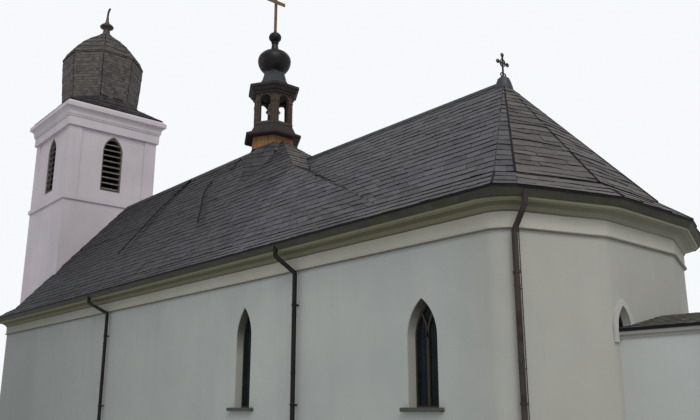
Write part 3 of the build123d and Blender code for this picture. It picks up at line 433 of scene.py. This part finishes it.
LOOKS = {
    "plaster": (
        "south_wall", "north_wall", "west_wall",
        "apse_south_wall", "apse_east_wall", "apse_north_wall",
    ),
    "cornice": ("south_cornice", "north_cornice", "apse_cornice"),
    "trim": ("apse_window_surround",),
    "annex_trim": ("annex_cornice",),
    "tower": (
        "tower_east_wall", "tower_north_wall", "tower_west_wall", "tower_south_wall",
        "tower_cornice",
    ),
    "annex": ("annex_south_wall", "annex_north_wall", "annex_east_wall"),
    "stone": ("floor", "window_sills"),
    "black_underlay_and_shade": ("nave_roof", "chancel_roof", "tower_skirt", "tower_dome", "annex_roof"),
    "sheet": ("ridge_caps",),
    "soffit": ("eaves_soffit",),
    "pipe": ("downpipes",),
    "frame_wood": ("window_frames", "tower_door"),
    "louvre_wood": ("tower_louvres",),
    "glass": ("window_glass",),
    "dark_wood": ("turret_skirt", "turret_cornice"),
    "lantern_wood": ("turret_lantern",),
    "ochre_wood": ("turret_base",),
    "bell": ("turret_bell",),
    "lead": ("turret_cap", "apse_cap"),
    "brown_lead": ("tower_finial",),
    "copper": ("turret_onion",),
    "gilt": ("turret_cross",),
    "iron": ("apse_cross",),
}
for look, names in LOOKS.items():
    for name in names:
        mesh = nodes[name].data
        mesh.materials.clear()
        mesh.materials.append(MATS[look])


def piece(name, bm, look):
    """A finished mesh that rides on the church, kept within the CAD's bounds."""
    for v in bm.verts:
        v.co = [min(max(c, lo), hi) for c, lo, hi in zip(v.co, cad_low, cad_high)]
    mesh = bpy.data.meshes.new(name)
    bm.to_mesh(mesh)
    bm.free()
    obj = bpy.data.objects.new(name, mesh)
    bpy.context.scene.collection.objects.link(obj)
    mesh.materials.append(MATS[look])
    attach(obj, "root")
    return obj


def closed_piece(name, bm, look):
    """A piece of closed forms, turned to face outward."""
    bmesh.ops.recalc_face_normals(bm, faces=bm.faces)
    return piece(name, bm, look)


# Roof coverings: courses of single slates laid on every slope of a CAD roof

# steepness of a level face, area of a speck and of the smallest slope
LEVEL, SPECK, SMALLEST_SLOPE = 0.995, 1e-6, 0.05
# how closely the triangles of one slope agree in direction and in place
SAME_WAY, SAME_PLANE = 0.9998, 0.02
# a hip turns by more than this cosine
HIP_TURN, SHORTEST_HIP = 0.985, 0.5
STRIP_LAP = 1.12
SLATE_GAP = 0.002
# how far a course is tucked under the next one, in shares of its sway
TUCK = 2.2


def roof_faces(obj, lowest_rise, keep):
    """Groups of coplanar upward triangles as (origin, along, up-slope, normal, edge loops)."""
    mesh = obj.data
    groups = []
    for poly in mesh.polygons:
        n, c = poly.normal, poly.center
        if n.z < lowest_rise or n.z > LEVEL or poly.area < SPECK or not keep(c, n):
            continue
        for normal, centre, polys in groups:
            if n.dot(normal) > SAME_WAY and abs(normal.dot(c - centre)) < SAME_PLANE:
                polys.append(poly)
                break
        else:
            groups.append((n.copy(), c.copy(), [poly]))
    faces = []
    for _, _, polys in groups:
        area = sum(p.area for p in polys)
        if area < SMALLEST_SLOPE:
            continue
        normal = sum((p.normal * p.area for p in polys), Vector()).normalized()
        origin = polys[0].center.copy()
        along = UP.cross(normal).normalized()
        up = normal.cross(along).normalized()
        count = {}
        for p in polys:
            ids = [tuple(round(c, 4) for c in mesh.vertices[v].co) for v in p.vertices]
            for a, b in zip(ids, ids[1:] + ids[:1]):
                edge = (a, b) if a < b else (b, a)
                count[edge] = count.get(edge, 0) + 1
        rim = []
        for (a, b), used in count.items():
            if used == 1:
                pa, pb = Vector(a) - origin, Vector(b) - origin
                rim.append(((pa.dot(along), pa.dot(up)), (pb.dot(along), pb.dot(up))))
        faces.append((origin, along, up, normal, rim))
    return faces


def hips(obj, lowest_rise, keep):
    """Edges where two slopes meet at a ridge or hip, as (from, to, normals, middles)."""
    mesh = obj.data
    edges = {}
    for poly in mesh.polygons:
        n, c = poly.normal, poly.center
        if n.z < lowest_rise or poly.area < SPECK or not keep(c, n):
            continue
        ids = [tuple(round(v, 4) for v in mesh.vertices[i].co) for i in poly.vertices]
        for a, b in zip(ids, ids[1:] + ids[:1]):
            edges.setdefault((a, b) if a < b else (b, a), []).append((n.copy(), c.copy()))
    found = []
    for (a, b), sides in edges.items():
        if len(sides) != 2:
            continue
        (n1, c1), (n2, c2) = sides
        a, b = Vector(a), Vector(b)
        turned = n1.dot(n2) < HIP_TURN and (c2 - c1).dot(n1) < 0
        if turned and (b - a).length > SHORTEST_HIP:
            found.append((a, b, (n1, n2), (c1, c2)))
    return found


def cap_hips(
    name, source, look, size, lowest=0.2, keep=lambda c, n: True, wanted=lambda p, ns: True
):
    """Lapped strips folded over the wanted hips; size is width, rise and lap length."""
    width, rise, lap = size
    bm = bmesh.new()
    for node in source:
        for a, b, normals, middles in hips(nodes[node], lowest, keep):
            if not wanted((a + b) / 2, normals):
                continue
            if a.z > b.z:
                a, b = b, a
            along = (b - a).normalized()
            flanks = []
            for normal, middle in zip(normals, middles):
                flank = normal.cross(along).normalized()
                flanks.append(flank if flank.dot(middle - a) > 0 else -flank)
            top = (normals[0] + normals[1]).normalized()
            count = max(1, round((b - a).length / lap))
            for k in range(count):
                low = a.lerp(b, k / count)
                high = a.lerp(b, min(1.0, (k + STRIP_LAP) / count))
                spread = width * random.uniform(0.8, 1.15)
                rings = []
                for place, lift in ((low, rise), (high, rise * 0.45)):
                    ring = [
                        place + flanks[0] * spread,
                        place + flanks[0] * spread + normals[0] * lift,
                        place + top * (lift * 1.35),
                        place + flanks[1] * spread + normals[1] * lift,
                        place + flanks[1] * spread,
                    ]
                    rings.append([bm.verts.new(p) for p in ring])
                for j in range(4):
                    bm.faces.new((rings[0][j], rings[0][j + 1], rings[1][j + 1], rings[1][j]))
                bm.faces.new(rings[0])
                bm.faces.new(rings[1][::-1])
    return closed_piece(name, bm, look)


def crossings(rim, t):
    """Where a level line meets the rim, as pairs of left and right."""
    found = []
    for (s0, t0), (s1, t1) in rim:
        if (t0 <= t < t1) or (t1 <= t < t0):
            found.append(s0 + (s1 - s0) * (t - t0) / (t1 - t0))
    found.sort()
    return list(zip(found[::2], found[1::2]))


def row_parts(rim, low, high):
    """The row between two levels as parts with their runs, split where the outline forks."""
    low_runs, high_runs = crossings(rim, low), crossings(rim, high)
    if len(low_runs) == len(high_runs):
        return [(low, high, low_runs, high_runs)]
    heights = {round(p[1], 4) for edge in rim for p in edge if low + 0.01 < p[1] < high - 0.01}
    forks = sorted(heights)
    marks = [low] + forks + [high]
    parts = []
    for t0, t1 in zip(marks, marks[1:]):
        t0, t1 = t0 + 0.001, t1 - 0.001
        low_runs, high_runs = crossings(rim, t0), crossings(rim, t1)
        if t1 - t0 > 0.03 and len(low_runs) == len(high_runs):
            parts.append((t0, t1, low_runs, high_runs))
    return parts


def wander(seed):
    """Slow waves along a course, between about -1 and 1."""
    rnd = random.Random(seed)
    waves = [
        (rnd.uniform(*span), rnd.uniform(0, 2 * math.pi), share)
        for span, share in (((0.25, 0.5), 0.4), ((1.0, 1.9), 0.3), ((3.0, 5.2), 0.3))
    ]
    return lambda s: sum(share * math.sin(pace * s + turn) for pace, turn, share in waves)


def lay_slates(bm, faces, lay, floor_z):
    """Rows of slates at level heights, each row with its own wandering lower edge."""
    for origin, along, up, normal, rim in faces:
        ts = [p[1] for edge in rim for p in edge]
        t_low, t_high = min(ts), max(ts)
        row = math.floor((origin.z + t_low * up.z - floor_z) / lay["step"]) - 1
        while True:
            row += 1
            a = max((floor_z + row * lay["step"] - origin.z) / up.z, t_low + 1e-3)
            b = min((floor_z + (row + 1) * lay["step"] - origin.z) / up.z, t_high - 1e-3)
            if a > t_high - 0.02:
                break
            if b - a < 0.04:
                continue
            top = min(b + TUCK * lay["sway"], t_high - 1e-3)
            course = wander(1000 * row + round(7 * origin.x + 13 * origin.y))
            for part_low, part_high, low_runs, high_runs in row_parts(rim, a, top):
                for low_run, high_run in zip(low_runs, high_runs):
                    span = low_run[1] - low_run[0]
                    if span < 0.03:
                        continue
                    cuts = [0.0]
                    while cuts[-1] < 1.0:
                        cuts.append(cuts[-1] + random.uniform(*lay["width"]) / max(span, 0.05))
                    cuts[-1] = 1.0
                    if len(cuts) > 2 and (cuts[-1] - cuts[-2]) * span < lay["width"][0] * 0.5:
                        del cuts[-2]
                    place = (origin, along, up, normal)
                    levels = (part_low, part_high)
                    for cut in zip(cuts, cuts[1:]):
                        slate(bm, place, levels, low_run, high_run, cut, lay, course, t_low)


def slate(bm, place, ts, low_run, high_run, cut, lay, course, t_low):
    """One slate, thicker at its broken lower edge and tucked under the row above."""
    origin, along, up, normal = place
    segments = lay["segments"]
    drop = random.uniform(0.0, 1.0) * lay["jitter"]
    tilt = random.uniform(-0.5, 0.5) * lay["jitter"]
    lift = lay["lift"]
    low_t, raised = [], []
    ends = (random.uniform(0.55, 1.5), random.uniform(0.55, 1.5))
    for k in range(segments + 1):
        share = k / segments
        c = cut[0] + (cut[1] - cut[0]) * share
        s = low_run[0] + (low_run[1] - low_run[0]) * c
        s += SLATE_GAP if k == 0 else (-SLATE_GAP if k == segments else 0.0)
        wave = drop + tilt * (share - 0.5) + random.uniform(-0.3, 0.3) * lay["jitter"]
        t = ts[0] + lay["sway"] * (course(s) - 0.2) - wave
        low_t.append((s, min(max(t, t_low + 0.001), ts[1] - 0.02)))
        raised.append(lay["thick"] * (ends[0] + (ends[1] - ends[0]) * share))

    def at(s, t, h):
        return bm.verts.new(origin + along * s + up * t + normal * h)

    top_low = [at(s, t, lift + h) for (s, t), h in zip(low_t, raised)]
    under_low = [at(s, t, lift * 0.5) for s, t in low_t]
    top_high = []
    for k in range(segments + 1):
        c = cut[0] + (cut[1] - cut[0]) * k / segments
        top_high.append(at(high_run[0] + (high_run[1] - high_run[0]) * c, ts[1], 0.002))
    for k in range(segments):
        bm.faces.new((top_low[k], top_low[k + 1], top_high[k + 1], top_high[k]))
        # the lower edge face takes the near-black second material: painted shade under the slate
        edge = bm.faces.new((under_low[k], under_low[k + 1], top_low[k + 1], top_low[k]))
        edge.material_index = 1
    # sides that meet a neighbour take it too: painted shade between slates
    bm.faces.new((under_low[0], top_low[0], top_high[0])).material_index = int(cut[0] > 0.0)
    bm.faces.new((top_low[-1], under_low[-1], top_high[-1])).material_index = int(cut[1] < 1.0)


def cover(name, source, look, lay, lowest=0.2, keep=lambda c, n: True):
    """Slates or shingles over every kept slope of some CAD nodes."""
    bm = bmesh.new()
    faces = []
    for node in source:
        faces += roof_faces(nodes[node], lowest, keep)
    lay_slates(bm, faces, lay, min(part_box(n)[0].z for n in source))
    obj = piece(name, bm, look)
    # near-black second material, for the painted shade on the slates' edges
    obj.data.materials.append(MATS["black_underlay_and_shade"])
    return obj


def eastward(c, n):
    """The apse's broad roof facets, and the slope that faces east by the turret."""
    return n.x > 0.35 and abs(n.y) < 0.3


# step is the height of a course; jitter and sway roughen a slate's edge and wave the course
SLATES = {
    "step": 0.198,
    "width": (0.24, 0.70),
    "thick": 0.018,
    "lift": 0.005,
    "jitter": 0.022,
    "sway": 0.036,
    "segments": 3,
}
APSE_SLATES = dict(
    SLATES, step=0.180, width=(0.30, 1.2), thick=0.022, jitter=0.040, sway=0.066, segments=4
)
SHINGLES = {
    "step": 0.165,
    "width": (0.12, 0.28),
    "thick": 0.016,
    "lift": 0.004,
    "jitter": 0.024,
    "sway": 0.018,
    "segments": 2,
}
LOW_SHINGLES = dict(SHINGLES, step=0.060, thick=0.009, jitter=0.012, sway=0.008)


def not_eastward(c, n):
    """The other slopes of those roofs."""
    return not eastward(c, n)


cover("nave_slates", ["nave_roof"], "slate", SLATES, keep=not_eastward)
cover("chancel_slates", ["chancel_roof"], "chancel_slate", SLATES, keep=not_eastward)
cover("apse_slates", ["chancel_roof"], "warm_slate", APSE_SLATES, keep=eastward)
cover("apron_slates", ["nave_roof"], "warm_slate", SLATES, keep=eastward)
cover("annex_shingles", ["annex_roof"], "mossy", LOW_SHINGLES)


def outside_tower(c, n):
    """Faces of the tower's roofs that look away from its axis."""
    return (c.x - TOWER_X) * n.x + c.y * n.y > 0.05


cover("skirt_shingles", ["tower_skirt"], "skirt", SHINGLES, 0.2, outside_tower)
cover("dome_shingles", ["tower_dome"], "shingle", SHINGLES, -0.5, outside_tower)


def of_apse(p, normals):
    """Hips between two of the apse's own facets."""
    return p.x > 12.0 and all(abs(n.y) < 0.72 or n.x > 0.2 for n in normals)


def of_west_end(p, normals):
    """Hips of the nave's west slope."""
    return p.x < -11.0


cap_hips("nave_hips", ["nave_roof"], "black_underlay_and_shade", (0.030, 0.034, 0.6), wanted=of_west_end)
cap_hips("apse_hips", ["chancel_roof"], "black_underlay_and_shade", (0.024, 0.036, 4.0), wanted=of_apse)
cap_hips(
    "dome_hips", ["tower_dome"], "black_underlay_and_shade", (0.018, 0.022, 0.6), -0.5, outside_tower
)
cap_hips(
    "skirt_hips", ["tower_skirt"], "black_underlay_and_shade", (0.022, 0.022, 0.5), 0.2, outside_tower
)

# Windows: leaded panes behind wooden mullions

FRAME_DEEP = 0.21
# centre along the wall, sill, springing, half width, rise of the arch, mullion
LONG_WINDOWS = ((13.17, 1.66, 3.17, 0.405, 0.784, True), (6.0, 1.66, 3.63, 0.3325, 0.804, False))
APSE_WINDOW_Y, APSE_PANE_DEEP = -1.12, 0.142
# half width, sill, springing, rise of the arch
APSE_WINDOW = (0.22, 3.0, 3.3, 0.47)
PANE_WIDTH, PANE_HEIGHT = 0.135, 0.19
# width and depth
CAME = (0.009, 0.008)
SADDLE_BAR = (0.020, 0.016)
POST = (0.055, 0.05)
POST_ARC = (0.045, 0.042)


def bar(bm, a, b, width, depth, out):
    """Square-edged bar from a to b; its depth lies along out."""
    along = (b - a).normalized()
    side = along.cross(out).normalized() * (width / 2)
    back = out.normalized() * (depth / 2)
    rings = []
    for end in (a, b):
        corners = ((1, 1), (-1, 1), (-1, -1), (1, -1))
        rings.append([bm.verts.new(end + side * i + back * j) for i, j in corners])
    for k in range(4):
        bm.faces.new((rings[0][k], rings[0][(k + 1) % 4], rings[1][(k + 1) % 4], rings[1][k]))
    bm.faces.new(rings[0][::-1])
    bm.faces.new(rings[1])


def bars(bm, points, width, depth, out):
    """Bars along a line of points."""
    for a, b in zip(points, points[1:]):
        bar(bm, a, b, width, depth, out)


def arch_circle(half, rise):
    """Centre offset and radius of each side of a pointed arch."""
    offset = (rise * rise - half * half) / (2 * half)
    return offset, offset + half


def lead_came(bm, place, out, half, foot, spring, rise):
    """Upright and level cames over one lancet pane; place maps (across, height) to a point."""
    offset, radius = arch_circle(half, rise)
    count = int(half / PANE_WIDTH)
    for k in range(-count, count + 1):
        x = k * PANE_WIDTH
        if abs(x) > half - 0.03:
            continue
        top = spring + math.sqrt(radius * radius - (abs(x) + offset) ** 2)
        bar(bm, place(x, foot), place(x, top), *CAME, out)
    level = foot + PANE_HEIGHT
    row = 1
    while level < spring + rise - 0.1:
        if level <= spring:
            reach = half
        else:
            reach = math.sqrt(radius * radius - (level - spring) ** 2) - offset
        size = SADDLE_BAR if row % 3 == 0 else CAME
        bar(bm, place(-reach, level), place(reach, level), *size, out)
        level += PANE_HEIGHT
        row += 1


def mullion(bm, place, out, half, foot, spring, rise):
    """Upright post that branches into two arcs under the pointed head."""
    offset, radius = arch_circle(half, rise)
    bar(bm, place(0, foot), place(0, spring + 0.02), *POST, out)
    last = math.asin(math.sqrt(radius * radius - (radius - half / 2) ** 2) / radius)
    for side in (-1, 1):
        arc = []
        for k in range(9):
            turn = last * k / 8
            across = side * (radius - radius * math.cos(turn))
            arc.append(place(across, spring + radius * math.sin(turn)))
        bars(bm, arc, *POST_ARC, out)


leads, mullions = bmesh.new(), bmesh.new()
for side in (-1, 1):
    for centre, foot, spring, half, rise, divided in LONG_WINDOWS:
        out = Vector((0, side, 0))

        def on_pane(deep, centre=centre, side=side):
            return lambda x, z: Vector((centre + x, side * (WALL_Y - deep), z))

        lead_came(leads, on_pane(FRAME_DEEP + 0.022), out, half, foot, spring, rise)
        if divided:
            mullion(mullions, on_pane(FRAME_DEEP + 0.005), out, half, foot, spring, rise)


def on_apse_pane(y, z):
    return Vector((APSE_X - APSE_PANE_DEEP, APSE_WINDOW_Y + y, z))


lead_came(leads, on_apse_pane, EAST, *APSE_WINDOW)
closed_piece("window_leads", leads, "black_underlay_and_shade")
closed_piece("window_mullions", mullions, "bar_wood")

# Collars of the rainwater pipes

PIPE_R, PIPE_OUT = 0.062, 0.142
COLLAR_HIGH, COLLAR_LEVELS, COLLAR_SIDES = 0.07, (0.95, 2.55, 4.05), 20
# share of the collar's height, and how far it stands out of the pipe
COLLAR_PROFILE = ((-0.5, 0.0), (-0.38, 1.0), (0.38, 1.0), (0.5, 0.0))
PIPES = [(x, side * (WALL_Y + PIPE_OUT)) for x in (-3.45, 8.62) for side in (-1, 1)]
PIPES += [(14.0, WALL_Y + PIPE_OUT), (15.696, -3.829)]


def collar(bm, centre):
    """Turned band round an upright pipe."""
    turns = [2 * math.pi * k / COLLAR_SIDES for k in range(COLLAR_SIDES)]
    rings = []
    for rise, grow in COLLAR_PROFILE:
        r = PIPE_R - 0.004 + 0.010 * grow
        z = rise * COLLAR_HIGH
        ring = [bm.verts.new(centre + Vector((r * math.cos(t), r * math.sin(t), z))) for t in turns]
        rings.append(ring)
    for low_ring, high_ring in zip(rings, rings[1:]):
        for k in range(COLLAR_SIDES):
            j = (k + 1) % COLLAR_SIDES
            bm.faces.new((low_ring[k], low_ring[j], high_ring[j], high_ring[k]))


collars = bmesh.new()
for x, y in PIPES:
    for level in COLLAR_LEVELS:
        collar(collars, Vector((x, y, level)))
closed_piece("pipe_collars", collars, "pipe")

# Conductor beside the corner pipe, on four clips

WIRE_X, WIRE_Y, WIRE_THICK, WIRE_LEVELS = 15.685, -3.668, 0.016, (0.02, 2.9, 5.45)
WIRE_OUT = Vector((0.83, -0.56, 0))
CLIP_WIDTH, CLIP_THICK, CLIP_LEVELS = 0.03, 0.012, (0.8, 2.4, 4.0, 5.2)
CLIP_WALL, CLIP_END = (15.60, -3.63), (15.70, -3.68)
wires = bmesh.new()
run = [Vector((WIRE_X, WIRE_Y, z)) for z in WIRE_LEVELS]
bars(wires, run, WIRE_THICK, WIRE_THICK, WIRE_OUT)
for z in CLIP_LEVELS:
    bar(wires, Vector((*CLIP_WALL, z)), Vector((*CLIP_END, z)), CLIP_WIDTH, CLIP_THICK, UP)
closed_piece("apse_conductor", wires, "iron")

# Raised strips on the nave's south slope, black as painted shade along its seams; the slope runs
# out and down from the ridge to the kick

RIDGE_Z, SLOPE_REACH, SLOPE_FALL = 11.78, 2.96, 3.78
SLOPE_OUT = Vector((0, -SLOPE_FALL, SLOPE_REACH)).normalized()
SEAM_LIFT, SEAM_THICK = 0.045, 0.03
# points as x and share of the slope from the ridge, then the width
SHADED_SEAMS = (
    (
        (
            (-4.85, 0.02), (-5.16, 0.18), (-5.42, 0.34), (-5.50, 0.52),
            (-5.46, 0.71), (-5.52, 0.84), (-5.52, 1.0),
        ),
        0.15,
    ),
    (((-1.75, 0.26), (-1.46, 0.43), (-0.9, 0.56), (-0.3, 0.69), (0.75, 0.93)), 0.06),
    (((-0.64, 0.04), (-0.69, 0.2)), 0.045),
)
shaded_seams = bmesh.new()
for path, width in SHADED_SEAMS:
    line = [Vector((x, -SLOPE_REACH * t, RIDGE_Z - SLOPE_FALL * t)) for x, t in path]
    bars(shaded_seams, [p + SLOPE_OUT * SEAM_LIFT for p in line], width, SEAM_THICK, SLOPE_OUT)
closed_piece("roof_seams_and_shade", shaded_seams, "black_underlay_and_shade")

# Turret lantern: rims of the arches, imposts, corner battens and a foot rail

TURRET = Vector((1.4, 0, 0))
LANTERN_R, LANTERN_FOOT, LANTERN_HEAD = 0.825, 12.4, 13.7
ARCH_HALF, ARCH_SPRING = 0.23, 13.41
ARCH_RIM = ARCH_HALF + 0.022
FACE_OUT = LANTERN_R * math.cos(math.radians(30)) + 0.010
FACE_HALF = 0.41
IMPOST_Z, IMPOST_FROM = ARCH_SPRING - 0.03, 0.232
# width and depth
RIM, IMPOST = (0.044, 0.034), (0.06, 0.05)
BATTEN_FOOT, BATTEN_HEAD, BATTEN_THICK = LANTERN_FOOT + 0.1, ARCH_SPRING - 0.06, 0.024
# distance from the face's middle, width
BATTENS = ((0.372, 0.07), (0.252, 0.036))
# height, width, depth
RAILS = ((LANTERN_FOOT + 0.06, 0.11, 0.05), (LANTERN_HEAD - 0.035, 0.05, 0.04))
lantern = bmesh.new()
for k in range(6):
    turn = math.radians(60 * k)
    out = Vector((math.cos(turn), math.sin(turn), 0))
    across = Vector((-math.sin(turn), math.cos(turn), 0))

    def on_face(s, z, out=out, across=across):
        return TURRET + out * FACE_OUT + across * s + Vector((0, 0, z))

    turns = [math.pi * j / 14 for j in range(15)]
    rim = [on_face(ARCH_RIM * math.cos(t), ARCH_SPRING + ARCH_RIM * math.sin(t)) for t in turns]
    bars(lantern, rim, *RIM, out)
    for s in (-1, 1):
        inner, outer = on_face(s * IMPOST_FROM, IMPOST_Z), on_face(s * FACE_HALF, IMPOST_Z)
        bar(lantern, inner, outer, *IMPOST, out)
        for off, width in BATTENS:
            foot, head = on_face(s * off, BATTEN_FOOT), on_face(s * off, BATTEN_HEAD)
            bar(lantern, foot, head, width, BATTEN_THICK, out)
    for z, width, depth in RAILS:
        bar(lantern, on_face(-FACE_HALF, z), on_face(FACE_HALF, z), width, depth, out)
closed_piece("lantern_mouldings", lantern, "lantern_wood")

# Tower door: boards, strap hinges and a ring

DOOR_X, DOOR_HALF, DOOR_SPRING, DOOR_RISE = -18.79, 0.75, 2.1, 0.9
BOARDS, FIRST_BOARD, BOARD_PITCH, BOARD_WIDTH, BOARD_THICK = 10, -0.675, 0.15, 0.142, 0.020
BOARD_X, HINGE_X, RING_X = DOOR_X - 0.008, DOOR_X - 0.022, DOOR_X - 0.03
BOARD_FOOT, BOARD_REACH = 0.02, 0.07
HINGE_FROM, HINGE_TO, HINGE_WIDTH, HINGE_THICK = -0.70, 0.45, 0.06, 0.010
RING_Y, RING_Z, RING_R, RING_THICK = 0.52, 1.15, 0.06, 0.012
door, irons = bmesh.new(), bmesh.new()
offset, radius = arch_circle(DOOR_HALF, DOOR_RISE)
for k in range(BOARDS):
    y = FIRST_BOARD + BOARD_PITCH * k
    far_edge = min(abs(y) + BOARD_REACH, DOOR_HALF)
    top = DOOR_SPRING + math.sqrt(radius * radius - (far_edge + offset) ** 2)
    foot, head = Vector((BOARD_X, y, BOARD_FOOT)), Vector((BOARD_X, y, top))
    bar(door, foot, head, BOARD_WIDTH, BOARD_THICK, EAST)
for z in (0.6, 1.9):
    hinge = Vector((HINGE_X, HINGE_FROM, z)), Vector((HINGE_X, HINGE_TO, z))
    bar(irons, *hinge, HINGE_WIDTH, HINGE_THICK, EAST)
turns = [math.pi * j / 8 for j in range(17)]
ring = [
    Vector((RING_X, RING_Y + RING_R * math.cos(t), RING_Z + RING_R * math.sin(t))) for t in turns
]
bars(irons, ring, RING_THICK, RING_THICK, EAST)
closed_piece("door_boards", door, "frame_wood")
closed_piece("door_irons", irons, "iron")

# Dark flashing round the dome's foot


def from_tower_axis(v):
    """Level distance from the tower's axis."""
    return Vector((v.x - TOWER_X, v.y)).length


FLASHING_LIFT, FLASHING_WIDTH, FLASHING_HIGH = 0.03, 0.05, 0.07
flashing = bmesh.new()
dome_verts = [v.co for v in nodes["tower_dome"].data.vertices]
dome_foot = min(v.z for v in dome_verts)
foot_verts = [v for v in dome_verts if v.z < dome_foot + 0.01]
widest = max(from_tower_axis(v) for v in foot_verts)
outer = {(round(v.x, 3), round(v.y, 3)) for v in foot_verts if from_tower_axis(v) > 0.9 * widest}
foot_ring = sorted(outer, key=lambda p: math.atan2(p[1], p[0] - TOWER_X))
ring_points = [Vector((x, y, dome_foot + FLASHING_LIFT)) for x, y in foot_ring]
bars(flashing, ring_points + ring_points[:1], FLASHING_WIDTH, FLASHING_HIGH, UP)
closed_piece("dome_flashing", flashing, "black_underlay_and_shade")

# Floor and light

FLOOR_HALF, FLOOR_Z = 400, -0.002
FLOOR_COLOUR = (0.62, 0.62, 0.61, 1)
SKY_LIGHT, SKY_STRENGTH = (0.93, 0.96, 1.0, 1), 0.62
SKY_SEEN = (0.93, 0.95, 0.97, 1)
SUN_FROM, SUN_ENERGY, SUN_SPREAD = Vector((0.80, -0.46, 0.9)), 1.35, math.radians(35)
SUN_COLOUR = (1.0, 0.975, 0.94)


def stage_floor():
    """Plain pale floor that keeps the shadow."""
    bm = bmesh.new()
    bmesh.ops.create_grid(bm, x_segments=1, y_segments=1, size=FLOOR_HALF)
    mesh = bpy.data.meshes.new("floor_plane")
    bm.to_mesh(mesh)
    bm.free()
    obj = bpy.data.objects.new("floor_plane", mesh)
    obj.location = (0, 0, FLOOR_Z)
    bpy.context.scene.collection.objects.link(obj)
    mat = bpy.data.materials.new("pale_floor")
    mat.use_nodes = True
    tree = mat.node_tree
    tree.nodes.clear()
    out = tree.nodes.new("ShaderNodeOutputMaterial")
    diffuse = tree.nodes.new("ShaderNodeBsdfDiffuse")
    diffuse.inputs["Color"].default_value = FLOOR_COLOUR
    tree.links.new(diffuse.outputs[0], out.inputs["Surface"])
    mesh.materials.append(mat)


def add_light():
    """Soft sun and a pale sky, lighter where it is seen than where it lights."""
    world = bpy.data.worlds.new("world")
    bpy.context.scene.world = world
    world.use_nodes = True
    tree = world.node_tree
    tree.nodes.clear()
    out = tree.nodes.new("ShaderNodeOutputWorld")
    light = tree.nodes.new("ShaderNodeBackground")
    light.inputs["Color"].default_value = SKY_LIGHT
    light.inputs["Strength"].default_value = SKY_STRENGTH
    seen = tree.nodes.new("ShaderNodeBackground")
    seen.inputs["Color"].default_value = SKY_SEEN
    seen.inputs["Strength"].default_value = 1.0
    path = tree.nodes.new("ShaderNodeLightPath")
    either = tree.nodes.new("ShaderNodeMath")
    either.operation = "MAXIMUM"
    tree.links.new(path.outputs["Is Camera Ray"], either.inputs[0])
    tree.links.new(path.outputs["Is Transmission Ray"], either.inputs[1])
    mix = tree.nodes.new("ShaderNodeMixShader")
    tree.links.new(either.outputs[0], mix.inputs[0])
    tree.links.new(light.outputs[0], mix.inputs[1])
    tree.links.new(seen.outputs[0], mix.inputs[2])
    tree.links.new(mix.outputs[0], out.inputs["Surface"])
    data = bpy.data.lights.new("soft_sun", "SUN")
    data.energy = SUN_ENERGY
    data.angle = SUN_SPREAD
    data.color = SUN_COLOUR
    sun = bpy.data.objects.new("soft_sun", data)
    sun.rotation_euler = SUN_FROM.to_track_quat("Z", "Y").to_euler()
    bpy.context.scene.collection.objects.link(sun)


stage_floor()
add_light()
bpy.context.scene.view_settings.view_transform = "Standard"
